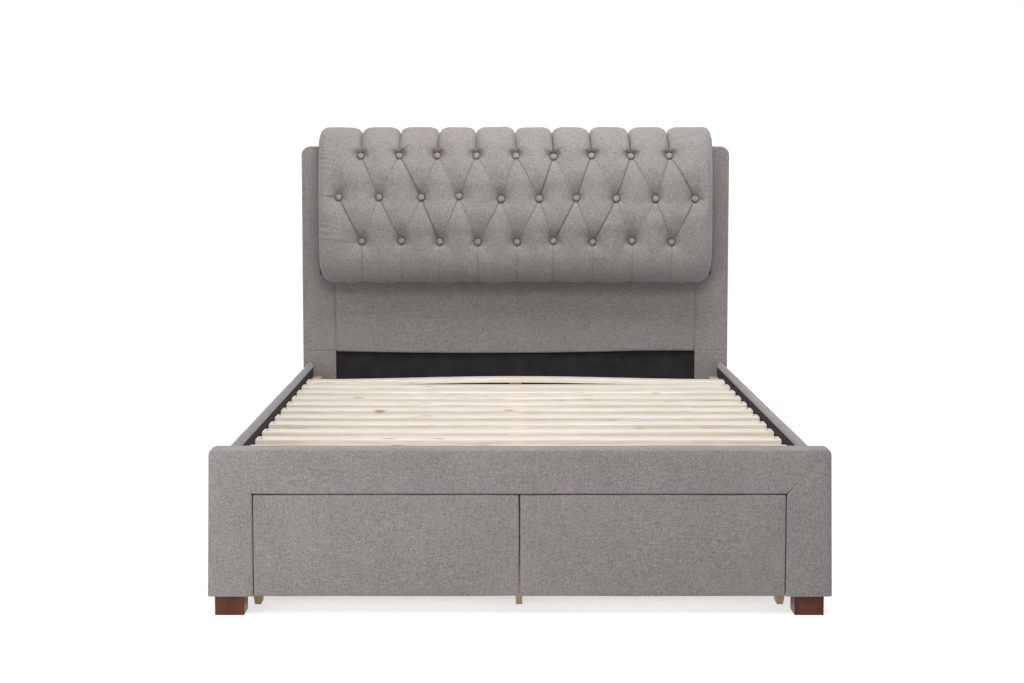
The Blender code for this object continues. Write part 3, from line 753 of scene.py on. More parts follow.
class Roll:
    """The roll's cloth as a surface over its width and the length of its side profile."""

    def __init__(self):
        self.low, self.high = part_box("headboard_roll")
        self.profile, self.along = roll_profile()
        tangent = np.gradient(self.profile, axis=0)
        tangent = np.stack([np.convolve(part, np.ones(9) / 9, mode='same')
                            for part in tangent.T], axis=1)
        tangent /= np.linalg.norm(tangent, axis=1, keepdims=True)
        self.normal = np.stack([-tangent[:, 1], tangent[:, 0]], axis=1)
        self.tufts = Tufts(self.profile, self.along)
        self.wall_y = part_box("headboard_panel_cover")[0].y - 0.0008
        self.shelf_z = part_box("headboard_side_cover_left")[1].z + 0.0006

    def at(self, s, values):
        return np.stack([np.interp(s, self.along, values[:, k]) for k in range(2)], axis=-1)

    def even(self, cell):
        count = int(self.along[-1] / cell)
        return np.linspace(0, self.along[-1], count), np.linspace(-1, 1, int(2 * self.high.x / cell))

    def graded(self):
        """Fine where the tufting shows, plain behind and underneath."""
        length = self.along[-1]
        front_end = length - 0.10
        s = np.concatenate([np.arange(0, 0.03, PLAIN_CELL), np.arange(0.03, front_end, CELL_ALONG),
                            np.linspace(front_end, length, int(0.10 / PLAIN_CELL))])
        return s, np.linspace(-1, 1, int(2 * self.high.x / CELL_ACROSS))

    def surface(self, s, t, creased, underfill=0.0):
        half = self.high.x
        radius = np.interp(s / self.along[-1], *END_RADII)
        straight = half - radius[:, None]
        reach = np.abs(t)[None, :] * (straight + radius[:, None] * pi / 2)
        turn = np.clip((reach - straight) / radius[:, None], 0, pi / 2)
        rounded_x = straight + radius[:, None] * np.sin(turn)
        x = np.sign(t)[None, :] * np.where(reach < straight, reach, rounded_x)
        inset = radius[:, None] * (1 - np.cos(turn))
        s_grid = np.repeat(s[:, None], len(t), axis=1)
        flat = np.stack([x.ravel(), np.zeros(x.size), s_grid.ravel()], axis=1)
        depth = self.tufts.depth(x, s_grid, creased)
        wobble = 0.0012 * ripple(flat, 0.10, 5).reshape(x.shape)
        move = -depth - inset - 0.0012 + wobble
        if creased:
            from_end = np.maximum(half - np.abs(x) - 0.004, 0)
            phase = 5.0 * ripple(flat * [0.5, 1, 1], 0.11, 9).reshape(x.shape)
            patch = np.clip(0.45 + 1.2 * ripple(flat * [0.2, 1, 1], 0.13, 12).reshape(x.shape), 0, 1)
            fade = near(from_end, 0.014 + 0.018 * patch, 1.4) * np.where(x < 0, 1.0, 0.5)
            move += GATHER_DEPTH * np.sin(s_grid * 2 * pi / GATHER_PITCH + phase) * patch * fade
        free = np.clip(np.minimum(s_grid, self.along[-1] - s_grid) / 0.012, 0, 1)
        move = np.where(inset > 0, move, move * free)
        move -= underfill * np.clip(1 - depth / 0.010, 0, 1) * free
        line, normal = self.at(s, self.profile), self.at(s, self.normal)
        points = np.empty((len(s), len(t), 3))
        points[:, :, 0] = x
        points[:, :, 1] = line[:, None, 0] + normal[:, None, 0] * move
        points[:, :, 2] = line[:, None, 1] + normal[:, None, 1] * move
        return points

    def rim_shade(self, s):
        """Painted shade along the bottom of the roll, where the cloth turns under."""
        height = self.at(s, self.profile)[:, 1]
        lowest = s[np.argmin(height)]
        turned = np.clip((RIM_HEIGHT - height + height.min()) / 0.002, 0, 1)
        return RIM_SHADE * turned * np.clip(1 + (s - lowest) / 0.010, 0, 1)

    def settle(self, points):
        """Keeps the cloth off the face and the top of the headboard."""
        lower = points[:, :, 2] < self.shelf_z
        points[:, :, 1] = np.where(lower, np.minimum(points[:, :, 1], self.wall_y), points[:, :, 1])
        return points

    def pinned(self, s, t, points):
        """Cloth that can't move: under the buttons, down the pleats and along its hems and ends."""
        x = points[:, :, 0]
        s_grid = np.repeat(s[:, None], len(t), axis=1)
        held = (s_grid < 0.012) | (s_grid > self.along[-1] - 0.012) | (np.abs(t)[None, :] > 0.985)
        for row in self.tufts.rows:
            for bx, bs in row:
                held |= np.hypot(x - bx, s_grid - bs) < BUTTON_RADIUS + 0.002
        for number, (bx, bs) in enumerate(self.tufts.rows[0]):
            held |= (np.abs(x - self.tufts.pleat(number, s_grid)) < 0.004) & (s_grid > bs)
        for bx, bs in self.tufts.rows[2]:
            held |= (np.abs(x - bx) < 0.0034) & (s_grid < bs) & (s_grid % 0.05 < 0.025)
        return held

    def inflated(self):
        """How the filling moves the cloth between its buttons, from a cloth simulation."""
        s, t = self.even(CLOTH_CELL)
        points = self.surface(s, t, creased=False, underfill=UNDERFILL)
        move = simulate_cloth(points, self.pinned(s, t, points))
        length = np.linalg.norm(move, axis=2, keepdims=True)
        move *= np.minimum(1, CLOTH_CAP / np.maximum(length, 1e-9))
        for _ in range(SMOOTHING):
            move[1:-1] = (move[:-2] + 2 * move[1:-1] + move[2:]) / 4
            move[:, 1:-1] = (move[:, :-2] + 2 * move[:, 1:-1] + move[:, 2:]) / 4
        x = points[:, :, 0]
        s_grid = np.repeat(s[:, None], len(t), axis=1)
        free = np.ones_like(x)
        for number, (bx, bs) in enumerate(self.tufts.rows[0]):
            beside = np.clip(np.abs(x - self.tufts.pleat(number, s_grid)) / 0.020, 0, 1)
            free = np.minimum(free, np.where(s_grid > bs - 0.01, beside ** 2 * (3 - 2 * beside), 1))
        return s, t, move * free[:, :, None]


def simulate_cloth(points, held):
    """Runs Blender's cloth under pressure on a grid of points, and returns how each one moved."""
    rows, columns = points.shape[:2]
    mesh = bpy.data.meshes.new("cloth")
    mesh.from_pydata([tuple(p) for p in points.reshape(-1, 3)], [], grid_faces(rows, columns))
    cloth = bpy.data.objects.new("cloth", mesh)
    scene = bpy.context.scene
    scene.collection.objects.link(cloth)
    group = cloth.vertex_groups.new(name="held")
    group.add([int(i) for i in np.flatnonzero(held.ravel())], 1.0, 'ADD')
    settings = cloth.modifiers.new("cloth", 'CLOTH').settings
    settings.quality = 6
    settings.mass = 0.3
    settings.tension_stiffness = settings.compression_stiffness = 12.0
    settings.shear_stiffness = 6.0
    settings.bending_stiffness = 2.0
    settings.vertex_group_mass = "held"
    settings.shrink_min = -CLOTH_EXCESS
    settings.use_pressure = True
    settings.uniform_pressure_force = CLOTH_PRESSURE
    settings.effector_weights.gravity = 0.0
    for number in range(1, CLOTH_FRAMES + 1):
        scene.frame_set(number)
    posed = cloth.evaluated_get(bpy.context.evaluated_depsgraph_get()).to_mesh()
    end = np.empty(len(posed.vertices) * 3)
    posed.vertices.foreach_get("co", end)
    bpy.data.objects.remove(cloth)
    scene.frame_set(1)
    return end.reshape(points.shape) - points


def resample(s, t, values, to_s, to_t):
    """Smooth values from one grid of the roll to another."""
    rows = np.stack([np.stack([np.interp(to_s, s, values[:, c, k]) for c in range(len(t))], axis=1)
                     for k in range(3)], axis=2)
    return np.stack([np.stack([np.interp(to_t, t, rows[r, :, k]) for r in range(len(to_s))], axis=0)
                     for k in range(3)], axis=2)


def close_roll(roll, points, shade, material):
    """Joins the cloth's two long edges behind and caps both ends."""
    columns = points.shape[1]
    first, last = points[0], points[-1]
    corner = np.stack([(first[:, 0] + last[:, 0]) / 2, np.full(columns, roll.wall_y),
                       np.full(columns, roll.shelf_z)], axis=1)
    hidden = []
    for share in np.linspace(0, 1, 12)[1:]:
        row = last * (1 - share) + corner * share
        row[:, 2] = roll.shelf_z
        hidden.append(row)
    hidden += [corner * (1 - share) + first * share for share in np.linspace(0, 1, 20)[1:-1]]
    loop = np.concatenate([points, np.array(hidden)], axis=0)
    count = loop.shape[0]
    all_points = [loop.reshape(-1, 3)]
    faces = []
    for i in range(count):
        a, b = i * columns, (i + 1) % count * columns
        faces += [(a + c, a + c + 1, b + c + 1, b + c) for c in range(columns - 1)]
    start = count * columns
    for side, column in ((-1, 0), (1, columns - 1)):
        ring = loop[:, column]
        centre = np.array([0.0, roll.wall_y - 0.03, roll.shelf_z + 0.012])
        previous = [i * columns + column for i in range(count)]
        for share in (0.97, 0.9, 0.8, 0.65, 0.45, 0.25, 0.1):
            inner = centre + (ring - centre) * share
            inner[:, 0] = ring[:, 0] + side * 0.003 * (1 - share ** 6)
            all_points.append(inner)
            current = list(range(start, start + count))
            start += count
            faces += [(previous[i], previous[(i + 1) % count], current[(i + 1) % count], current[i])
                      for i in range(count)]
            previous = current
        faces.append(tuple(previous))
    all_points = np.concatenate(all_points)
    # Painted shade for the cloth's own points; the rows behind and the end caps get none.
    fold = np.zeros(len(all_points))
    fold[:shade.size] = shade.ravel()
    return mesh_object("tufted_roll", all_points, faces, material, 180, fold)


def covered_button(number, place, outward, material):
    """Dome button covered in the cloth, pressed into its pit."""
    around = 28
    ring = [(cos(2 * pi * k / around), sin(2 * pi * k / around)) for k in range(around)]
    points = [(BUTTON_RADIUS * share * x, BUTTON_RADIUS * share * y, height)
              for share, height in BUTTON_OUTLINE for x, y in ring]
    faces = grid_faces(len(BUTTON_OUTLINE), around, wrap=True)
    piece = mesh_object(f"covered_button_{number:02d}", points, faces, material)
    piece.rotation_mode = 'QUATERNION'
    piece.rotation_quaternion = Vector(outward).to_track_quat('Z', 'Y')
    piece.location = place
    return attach(piece, "root")


def headboard_roll(material):
    roll = Roll()
    s, t = roll.graded()
    points = roll.surface(s, t, creased=True, underfill=UNDERFILL)
    # Painted shade in folds, pleats, hems, round the buttons and along the roll's bottom rim.
    shade = roll.tufts.shade(points[:, :, 0], np.repeat(s[:, None], len(t), axis=1))
    shade = np.maximum(shade, roll.rim_shade(s)[:, None])
    points += resample(*roll.inflated(), s, t)
    cloth = close_roll(roll, roll.settle(points), shade, material)
    declare(cloth, "root", "headboard_roll", fill=0.8)
    number = 0
    for row in roll.tufts.rows:
        for bx, bs in row:
            number += 1
            y, z = roll.at(bs, roll.profile)
            out = Vector((0.0, *roll.at(bs, roll.normal))).normalized()
            covered_button(number, Vector((bx, y, z)) - out * (PIT_DEPTH - BUTTON_SEAT), out, material)


# Headboard panel and wings --------------------------------------------------------------
WING_CORNER = 0.030
WING_PADDING = 0.0148
WING_SKIN = 0.0101
WING_EDGE = 0.008
TOPSTITCH_INSET = 0.010
PANEL_SAG = 0.0075            # how far the panel's hem hangs down at the middle
PANEL_HEM = (0.0264, 0.0067)  # how it rises to the sides, and more to the right


def centre_panel(material):
    """Flat padded panel under the roll, turned back over the top rail of the headboard."""
    low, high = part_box("headboard_panel_cover")
    lower, upper = 0.004, 0.007
    profile = [(low.y + 0.0125, low.z)]
    profile += quarter((low.y + lower, low.z + lower), lower, -90, -180, 6)
    profile += [(low.y, z) for z in np.arange(low.z + 0.012, high.z - 0.02, 0.012)]
    profile += quarter((low.y + upper, high.z - upper), upper, 180, 90, 6)
    profile += [(y, high.z) for y in np.arange(low.y + 0.02, high.y - 0.008, 0.012)]
    profile += [(high.y, high.z - 0.004), (high.y, high.z - 0.0115)]
    profile = np.array(profile)
    xs = stations(low.x, high.x, 0.012, edge=0.005)
    outer = swept(profile[:, 0], profile[:, 1], xs, 0)
    inner = outer.copy()
    inner[:, :, 1] = np.maximum(inner[:, :, 1], low.y + WING_PADDING)
    inner[:, :, 2] = np.minimum(inner[:, :, 2], high.z - 0.012)
    grid = outer.reshape(-1, 3)
    from_seam = high.x - np.abs(grid[:, 0])
    above_hem = grid[:, 2] - low.z
    sink = 0.0030 * near(from_seam, 0.0035) + 0.0008 * near(from_seam, 0.02, 1)
    wave = 1 + np.sin(grid[:, 2] * 2 * pi / 0.021 + 3 * grid[:, 0])
    pucker = 0.0006 * near(from_seam, 0.012, 1) * wave
    pull = 0.0009 * near(above_hem, 0.010, 1) * (1 + np.sin(grid[:, 0] * 2 * pi / 0.034))
    sink = sink + pucker + pull + uneven(grid, 0.22, 21, 0.0007)
    grid[:, 1] += np.where(grid[:, 1] < low.y + 0.011, sink, 0.0)
    for skin in (outer, inner):
        across = skin[:, :, 0]
        hem = np.minimum(PANEL_HEM[0] * across ** 2 + PANEL_HEM[1] * across - PANEL_SAG, 0)
        skin[:, :, 2] += hem * np.clip(1 - (skin[:, :, 2] - low.z) / 0.12, 0, 1)
    piece = shell("headboard_centre_panel", outer, inner, material)
    declare(piece, "root", "headboard_panel_cover", fill=0.95)


def wing_outline(inner_x, outer_x, bottom, top, seam_z):
    """Silhouette of a wing from its foot up and over to the panel, with the point of the panel's
    seam that each of its points is joined to, and the way inwards."""
    corner = np.array((outer_x - WING_CORNER, top - WING_CORNER))
    edge, way, seam = [], [], []
    for z in stations(bottom, corner[1], 0.012, [seam_z]):
        edge.append((outer_x, z))
        way.append((-1.0, 0.0))
        seam.append(z)
    steps = [(corner + WING_CORNER * np.array((cos(a), sin(a))), (-cos(a), -sin(a)))
             for a in turn(9, 90, 10)]
    steps += [(np.array((x, top)), (0.0, -1.0))
              for x in np.arange(corner[0] - 0.008, inner_x + 0.004, -0.008)]
    steps.append((np.array((inner_x, top)), (0.0, -1.0)))
    for number, (place, inward) in enumerate(steps, start=1):
        edge.append(tuple(place))
        way.append(inward)
        seam.append(corner[1] + (top - WING_EDGE - 0.001 - corner[1]) * number / len(steps))
    return np.array(edge), np.array(way), np.array(seam)


def wing(side_name, side, material):
    """Padded side of the headboard: front strip, outer side and top, sewn 10 mm in from the edge."""
    low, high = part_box(f"headboard_side_cover_{side_name}")
    seam_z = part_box("headboard_panel_cover")[0].z
    inner_x, outer_x = sorted((abs(low.x), abs(high.x)))
    edge, way, seam = wing_outline(inner_x, outer_x, low.z, high.z, seam_z)
    start = np.stack([np.full(len(edge), inner_x), seam], axis=1)
    stop = edge + way * WING_EDGE
    shares = np.concatenate([[0, 0.012, 0.03, 0.06], np.linspace(0.12, 0.80, 7),
                             np.linspace(0.86, 1, 12)])
    columns = [(start + (stop - start) * share, low.y) for share in shares]
    for a in turn(15, 90, 6):
        columns.append((edge + way * WING_EDGE * (1 - sin(a)), low.y + WING_EDGE * (1 - cos(a))))
    for y in np.arange(low.y + WING_EDGE + 0.010, high.y - 0.008, 0.012):
        columns.append((edge, y))
    back = 0.004
    for a in turn(0, 90, 4):
        columns.append((edge + way * back * (1 - cos(a)), high.y - back * (1 - sin(a))))
    columns.append((edge + way * WING_SKIN, high.y))
    outer = np.stack([np.stack([place[:, 0], np.full(len(edge), y), place[:, 1]], axis=1)
                      for place, y in columns], axis=1)
    inner = outer.copy()
    core = edge + way * WING_SKIN
    for number, (place, y) in enumerate(columns):
        if number >= len(shares):
            inner[:, number, 0], inner[:, number, 2] = core[:, 0], core[:, 1]
            inner[:, number, 1] = min(max(y, low.y + WING_PADDING), high.y - 0.001)
        else:
            inner[:, number, 1] = low.y + WING_PADDING
            held = start + (core - start) * shares[number]
            inner[:, number, 0], inner[:, number, 2] = held[:, 0], held[:, 1]
    grid = outer.reshape(-1, 3)
    from_edge = np.minimum(outer_x - grid[:, 0], high.z - grid[:, 2])
    corner_x, corner_z = outer_x - WING_CORNER, high.z - WING_CORNER
    in_corner = (grid[:, 0] > corner_x) & (grid[:, 2] > corner_z)
    from_centre = np.hypot(grid[:, 0] - corner_x, grid[:, 2] - corner_z)
    from_edge = np.where(in_corner, WING_CORNER - from_centre, from_edge)
    front = grid[:, 1] < low.y + 0.004
    sink = 0.0016 * near(from_edge - TOPSTITCH_INSET, 0.0014)
    sink += 0.0014 * near(grid[:, 2] - seam_z, 0.0016)
    sink += 0.0030 * near(grid[:, 0] - inner_x, 0.0035)
    sink += uneven(grid, 0.20, 31 + side, 0.0007)
    grid[:, 1] += np.where(front, sink, 0.0)
    for array in (outer, inner):
        array[:, :, 0] *= side
    piece = shell(f"headboard_wing_{side_name}", outer, inner, material)
    declare(piece, "root", f"headboard_side_cover_{side_name}", fill=0.95)


# Black cloths ---------------------------------------------------------------------------
CLOTH_STEP = 0.012


def flat_cloth(name, low, high, across, material, replaced=None):
    """Thin cloth stapled over a frame, hardly sagging between its edges."""
    low, high = np.array(low, float), np.array(high, float)
    axes = [axis for axis in range(3) if axis != across]
    u = stations(low[axes[0]], high[axes[0]], CLOTH_STEP)
    v = stations(low[axes[1]], high[axes[1]], CLOTH_STEP)
    grid_u, grid_v = np.meshgrid(u, v)
    sides = []
    for level in (low[across], high[across]):
        points = np.empty((*grid_u.shape, 3))
        points[:, :, axes[0]], points[:, :, axes[1]], points[:, :, across] = grid_u, grid_v, level
        sides.append(points)
    share_u = np.minimum(grid_u - low[axes[0]], high[axes[0]] - grid_u)
    share_v = np.minimum(grid_v - low[axes[1]], high[axes[1]] - grid_v)
    free = 1 - np.exp(-np.minimum(share_u, share_v) / 0.02)
    thickness = high[across] - low[across]
    move = thickness * 0.30 * ripple(sides[0].reshape(-1, 3), 0.19, 44).reshape(grid_u.shape) * free
    for points in sides:
        points[:, :, across] += move
    piece = shell(name, sides[0], sides[1], material, "dust_cloth")
    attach(piece, "root")
    if replaced:
        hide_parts(replaced)


SPARE = 0.0003                # room for the cloth's unevenness in front and behind


def headboard_cloths(material):
    for name, node in (("headboard_front_lining", "headboard_dust_cloth"),
                       ("headboard_back_lining", "headboard_back_cloth")):
        low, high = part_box(node)
        low.y += SPARE
        high.y -= SPARE
        flat_cloth(name, low, high, 1, material, node)


# Footboard ------------------------------------------------------------------------------
FOOTBOARD_COVERS = ("footboard_cover_left", "footboard_cover_right", "footboard_cover_top")
FOOTBOARD_CORNER = 0.015
FOOTBOARD_TAPER = 0.0030      # how far the sides lean in at the top and out at the foot
RIGHT_PADDING = 0.0025        # more padding on the right-hand post
FOOTBOARD_LIFT = 0.0030       # padding that stands above the solid of the cover
FOOTBOARD_FRONT_EDGE = 0.014
FOOTBOARD_BACK_EDGE = 0.010
OPENING_EDGE = 0.004
BAND_CELL = 0.014


def footboard_section(width, front, back):
    """Section round one member of the footboard, from the opening outwards and back again."""
    inner, outer, rear = OPENING_EDGE, FOOTBOARD_FRONT_EDGE, FOOTBOARD_BACK_EDGE
    section = quarter((inner, front + inner), inner, 180, 270, 5)
    section += [(d, front) for d in np.linspace(0.009, width - outer - 0.006, 12)]
    section += quarter((width - outer, front + outer), outer, -90, 0, 8)
    section += [(width, y) for y in np.linspace(front + outer + 0.008, back - rear - 0.008, 4)]
    section += quarter((width - rear, back - rear), rear, 0, 90, 6)
    section += [(d, back) for d in np.linspace(width - rear - 0.010, 0.010, 6)]
    section += quarter((inner, back - inner), inner, 90, 180, 4)
    section += [(0.0, y) for y in np.linspace(back - 0.016, front + 0.016, 4)]
    return np.array(section)


def near_ends(low, high, cell, closest=(0.0, 0.0012, 0.003, 0.006, 0.011)):
    """Shares from 0 to 1 of a length, closer together towards its far end."""
    length = high - low
    values = list(np.linspace(0, 1 - 0.02 / length, max(3, int(length / cell))))
    values += [1 - distance / length for distance in reversed(closest)]
    return [value for value in values if value >= 0]


def footboard_cover(material):
    """Padding round the two posts and the top rail, swept as one band with mitred corners."""
    low, high = corners(*FOOTBOARD_COVERS)
    inner_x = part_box("footboard_cover_right")[0].x
    opening_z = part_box("footboard_cover_top")[0].z
    width, height = high.x - inner_x, high.z - opening_z
    section = footboard_section(width, low.y, high.y)
    share = section[:, 0] / width
    reach_x = inner_x + share * width
    reach_z = opening_z + share * height
    radius = FOOTBOARD_CORNER * share ** 2
    bend_x, bend_z = reach_x - radius, reach_z - radius
    half = near_ends(0, inner_x, BAND_CELL)
    post = [(reach_x, low.z + part * (bend_z - low.z))
            for part in near_ends(low.z, opening_z, BAND_CELL)]
    post += [(bend_x + radius * cos(a), bend_z + radius * sin(a)) for a in turn(15, 75, 5)]
    rings = [(-x, z) for x, z in post]
    rings += [(part * bend_x, reach_z) for part in [-p for p in reversed(half)] + half[1:]]
    rings += reversed(post)
    points = np.empty((len(rings), len(section), 3))
    for number, (x, z) in enumerate(rings):
        points[number, :, 0] = x
        points[number, :, 1] = section[:, 1]
        points[number, :, 2] = z
    grid = points.reshape(-1, 3)
    depth = np.tile(section[:, 0], len(rings))
    front = grid[:, 1] < low.y + 0.003
    past_x = np.abs(grid[:, 0]) - inner_x
    past_z = grid[:, 2] - opening_z
    mitre = np.abs(past_x / width - past_z / height) * width / sqrt(2)
    right = grid[:, 0] > 0
    from_corner = np.hypot(past_x, past_z)
    opened = np.where(right, 0.0045, 0.0012) * near(from_corner, np.where(right, 0.014, 0.006))
    sewn = np.where(right, 0.0008, 0.0004)
    sink = opened * near(mitre, 0.0016) + sewn * near(mitre, 0.0013)
    crown = np.clip(depth / width, 0, 1)
    sink += 0.0012 * (1 - np.sin(pi * np.clip(crown * 0.9 + 0.05, 0, 1)) ** 0.7)
    sink += uneven(grid, 0.21, 51, 0.0007)
    near_edge = near(np.abs(depth - width * 0.92), 0.02, 1)
    sink += uneven(grid * [1, 1, 2.0], 0.07, 52, 0.0005) * near_edge
    grid[:, 1] += np.where(front, sink, 0.0)
    top = grid[:, 2] > high.z - 0.004
    grid[:, 2] -= np.where(top, uneven(grid, 0.17, 53, 0.0007), 0.0)
    outside = np.clip((np.abs(grid[:, 0]) - inner_x) / width, 0, 1) ** 2
    lean = (high.z + low.z - 2 * grid[:, 2]) / (high.z - low.z)
    padding = np.where(right, RIGHT_PADDING, 0.0)
    grid[:, 0] += (np.sign(grid[:, 0]) * FOOTBOARD_TAPER * lean + padding) * outside
    grid[:, 2] += FOOTBOARD_LIFT * np.clip((grid[:, 2] - opening_z) / height, 0, 1) ** 2
    count = len(section)
    faces = grid_faces(len(rings), count, wrap=True)
    faces.append(tuple(range(count)))
    faces.append(tuple((len(rings) - 1) * count + k for k in reversed(range(count))))
    piece = mesh_object("footboard_padding", grid, faces, material)
    declare(piece, "root", *FOOTBOARD_COVERS, fill=0.95)


# Drawer fronts and side rails -----------------------------------------------------------
DRAWER_EDGE = 0.0030
DRAWER_PADDING = 0.0012      # how far the padding closes the gaps round a drawer
RAIL_HEM = 0.003
RAIL_SHOULDER = 0.012        # how far below the board's top the padding starts to turn in
RAIL_RIDGE = 0.0095          # from the inner face to the highest line of the padding


def drawer_front(side_name, seed, material):
    low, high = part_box(f"{side_name}_drawer_front")
    low.x -= DRAWER_PADDING
    high.x += DRAWER_PADDING
    high.z += DRAWER_PADDING
    piece = soft_block(f"{side_name}_drawer_padded_front", low, high, DRAWER_EDGE, material, seed)
    declare(piece, f"{side_name}_drawer", f"{side_name}_drawer_front", fill=0.95)


def rail_cover(side_name, side, material):
    """Cover of a side rail: its outer face and a plump half-round along the top."""
    low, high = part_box(f"side_rail_cover_{side_name}")
    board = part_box(f"side_rail_{side_name}")
    inner_x, outer_x = sorted((abs(low.x), abs(high.x)))
    base = board[1].z
    crown = high.z - base
    middle, half = (inner_x + outer_x) / 2, (outer_x - inner_x) / 2
    outline = [(outer_x - 0.0050, low.z)]
    outline += quarter((outer_x - RAIL_HEM, low.z + RAIL_HEM), RAIL_HEM, -70, 0, 4)
    shoulder_z = base - RAIL_SHOULDER
    outline += [(outer_x, z) for z in np.arange(low.z + 0.016, shoulder_z - 0.006, 0.016)]
    ridge = inner_x + RAIL_RIDGE
    outline += arc((ridge, shoulder_z), (outer_x - ridge, high.z - shoulder_z), 0, 88, 12, 1.5)
    outline += arc((ridge, base), (ridge - inner_x, crown), 92, 180, 8)
    outline = np.array(outline)
    board_outer = max(abs(board[0].x), abs(board[1].x)) + 0.0002
    held_x = np.where(outline[:, 1] < base, board_outer, np.minimum(outline[:, 0], board_outer))
    inner = np.stack([held_x, np.minimum(np.maximum(outline[:, 1], low.z), base + 0.0002)], axis=1)
    ys = stations(low.y, high.y, 0.02, edge=0.004)
    skins = [swept(line[:, 0], line[:, 1], ys, 1) for line in (outline, inner)]
    grid = skins[0].reshape(-1, 3)
    face = near(np.maximum(base - grid[:, 2], 0), 0.05, 1)
    outward = np.clip((grid[:, 0] - middle) / half, -1, 1)
    upward = np.clip((grid[:, 2] - base) / crown, 0, 1)
    soft = uneven(grid, 0.16, 61 + side, 0.0008) * face
    grid[:, 0] -= (soft + uneven(grid, 0.3, 64 + side, 0.0005)) * np.maximum(outward, 0)
    grid[:, 2] -= soft * upward
    for points in skins:
        points[:, :, 0] *= side
    piece = shell(f"side_rail_padding_{side_name}", *skins, material)
    declare(piece, "root", f"side_rail_cover_{side_name}", fill=0.9)


def rail_lining(side_name, side, material):
    """Black cloth on the inner face of a rail, above the ledge that carries the slats."""
    low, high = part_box(f"side_rail_{side_name}")
    ledge_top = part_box(f"slat_ledge_{side_name}")[1].z
    face = min(abs(low.x), abs(high.x))
    xs = sorted((side * (face - 0.0013), side * (face - 0.0002)))
    flat_cloth(f"side_rail_lining_{side_name}", (xs[0], low.y + 0.001, ledge_top + 0.001),
               (xs[1], high.y - 0.001, high.z), 0, material)


# Screws ---------------------------------------------------------------------------------
SCREW_RADIUS = 0.0042
SCREW_INSET = 0.0135
SCREW_RINGS = (0.0, 0.12, 0.22, 0.34, 0.46, 0.58, 0.75, 0.92, 1.0)


def screw_head(name, place, material):
    """Countersunk cross-head screw, seen from above."""
    around = 24
    points = []
    for ring in SCREW_RINGS:
        for k in range(around):
            angle = 2 * pi * k / around
            x, y = ring * cos(angle), ring * sin(angle)
            in_cross = ring < 0.6 and min(abs(x), abs(y)) < 0.13
            height = 0.0005 * (1 - ring ** 2) - (0.0012 if in_cross else 0.0)
            points.append((x * SCREW_RADIUS, y * SCREW_RADIUS, height))
    points += [(x, y, -0.0004) for x, y, z in points[-around:]]
    faces = grid_faces(len(SCREW_RINGS) + 1, around, wrap=True)
    faces.append(tuple(len(SCREW_RINGS) * around + k for k in range(around)))
    piece = mesh_object(name, points, faces, material, sharp_angle=35)
    piece.location = place
    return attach(piece, "root")


def slat_screws(material):
    slats = sorted(name for name in nodes if name.startswith("slat_") and name[-2:].isdigit())
    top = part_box(slats[0])[1].z
    for name in slats:
        low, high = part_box(name)
        for side_name, side in SIDES.items():
            place = (side * (high.x - SCREW_INSET), (low.y + high.y) / 2 + 0.004 * side, top + 0.0004)
            screw_head(f"screw_{name}_{side_name}", place, material)


def finish_cad_nodes(materials):
    """Gives every CAD node that stays in view its finished material."""
    by_slot = {part["node"]: part["material_slot"] for part in frame["record"]["subparts"]}
    for name, obj in nodes.items():
        obj.data.materials.clear()
        obj.data.materials.append(materials[by_slot[name]])


# Studio ---------------------------------------------------------------------------------
SKY_STRENGTH = 2.0
SKY_BANDS = (                # height of the direction, 0 at the horizon and 1 overhead, and brightness
    (0.00, 0.54), (0.12, 0.54), (0.22, 0.08), (0.42, 0.08), (0.60, 0.64), (1.00, 0.50),
)


LIGHTS = (                   # name, place, target, size in metres, power in watts
    ("strip_over_headboard", (0.15, 0.0, 2.3), (0, 0.85, 0.9), (1.8, 0.4), 40),
    ("strip_over_foot", (0.0, -1.6, 2.6), (0, -1.0, 0.4), (1.6, 0.3), 15),
    ("low_left", (-1.9, -2.6, 0.6), (-0.3, -1.0, 0.3), (0.9, 0.9), 35),
    ("front_high", (0.3, -3.4, 3.2), (0, 0.3, 0.4), (2.0, 1.5), 95),
)


def area_light(name, place, target, size, power):
    data = bpy.data.lights.new(name, 'AREA')
    data.shape = 'RECTANGLE'
    data.size, data.size_y = size
    data.energy = power
    light = bpy.data.objects.new(name, data)
    light.location = place
    light.rotation_euler = (Vector(target) - Vector(place)).to_track_quat('-Z', 'Y').to_euler()
    bpy.context.scene.collection.objects.link(light)


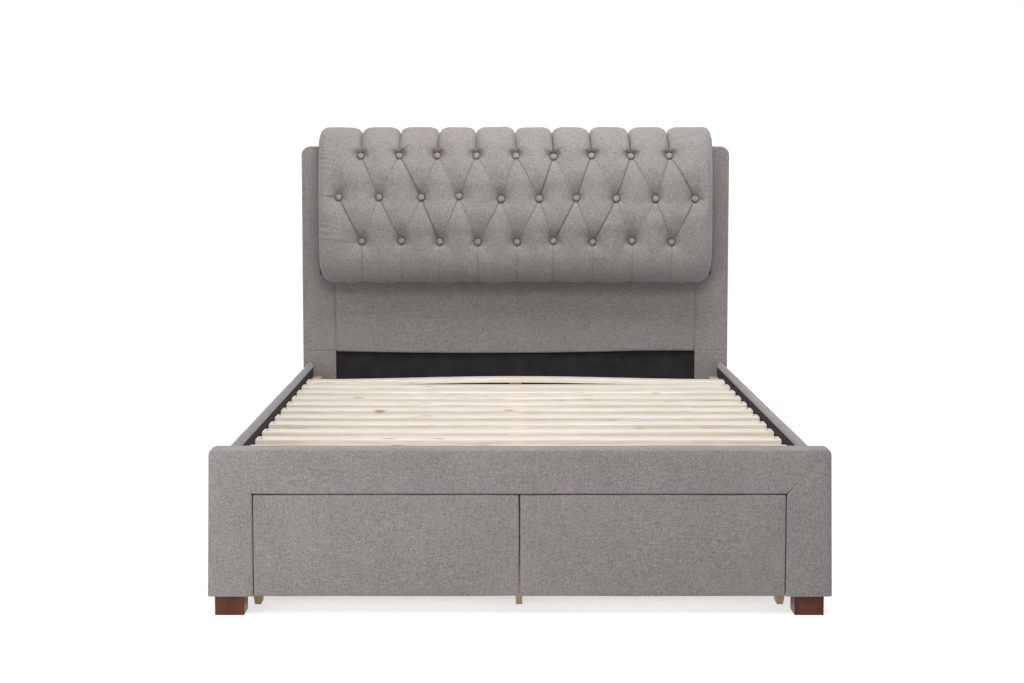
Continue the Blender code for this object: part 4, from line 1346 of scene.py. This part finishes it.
def banded_sky():
    """World light that changes with the height of its direction, like soft boxes overhead."""
    world = bpy.data.worlds.new("studio")
    world.use_nodes = True
    tree = world.node_tree
    direction = tree.nodes.new("ShaderNodeTexCoord")
    split = tree.nodes.new("ShaderNodeSeparateXYZ")
    tree.links.new(direction.outputs["Generated"], split.inputs[0])
    bands = tree.nodes.new("ShaderNodeValToRGB")
    stops = bands.color_ramp.elements
    stops.remove(stops[1])
    for number, (height, brightness) in enumerate(SKY_BANDS):
        stop = stops.new(height) if number else stops[0]
        stop.color = (brightness, brightness, brightness, 1.0)
    tree.links.new(split.outputs["Z"], bands.inputs[0])
    tree.links.new(bands.outputs[0], tree.nodes["Background"].inputs["Color"])
    tree.nodes["Background"].inputs["Strength"].default_value = SKY_STRENGTH
    return world


def make_studio():
    scene = bpy.context.scene
    scene.view_settings.view_transform = 'Standard'
    scene.world = banded_sky()
    mesh = bpy.data.meshes.new("floor")
    bm = bmesh.new()
    bmesh.ops.create_grid(bm, x_segments=8, y_segments=8, size=30.0)
    bm.to_mesh(mesh)
    bm.free()
    mesh.materials.append(pale_glowing_floor())
    floor = bpy.data.objects.new("floor", mesh)
    scene.collection.objects.link(floor)
    for light in LIGHTS:
        area_light(*light)


# Whole scene ----------------------------------------------------------------------------
make_camera()
make_studio()
GREY = linen()
BLACK = lining_cloth()
# The slat tops get painted shade, darker and cooler than their sides.
PALE = pine("slat_pine", (0.690, 0.630, 0.556), (0.560, 0.479, 0.387), top_painted_shade=(0.66, 0.71, 0.77))
STRUCTURE = pine("support_pine", (0.40, 0.30, 0.20), (0.31, 0.21, 0.13), along='Y')
finish_cad_nodes({
    "upholstery": GREY,
    "dust_cloth": BLACK,
    "frame_timber": STRUCTURE,
    "slat_pine": PALE,
    "support_pine": STRUCTURE,
    "foot_wood": stained_wood(),
    "drawer_board": drawer_board(),
    "slide_steel": zinc_steel(),
})
headboard_roll(GREY)
centre_panel(GREY)
headboard_cloths(BLACK)
footboard_cover(GREY)
for side_name, side in SIDES.items():
    wing(side_name, side, GREY)
    drawer_front(side_name, 71 + side, GREY)
    rail_cover(side_name, side, GREY)
    rail_lining(side_name, side, BLACK)
slat_screws(blackened_steel())
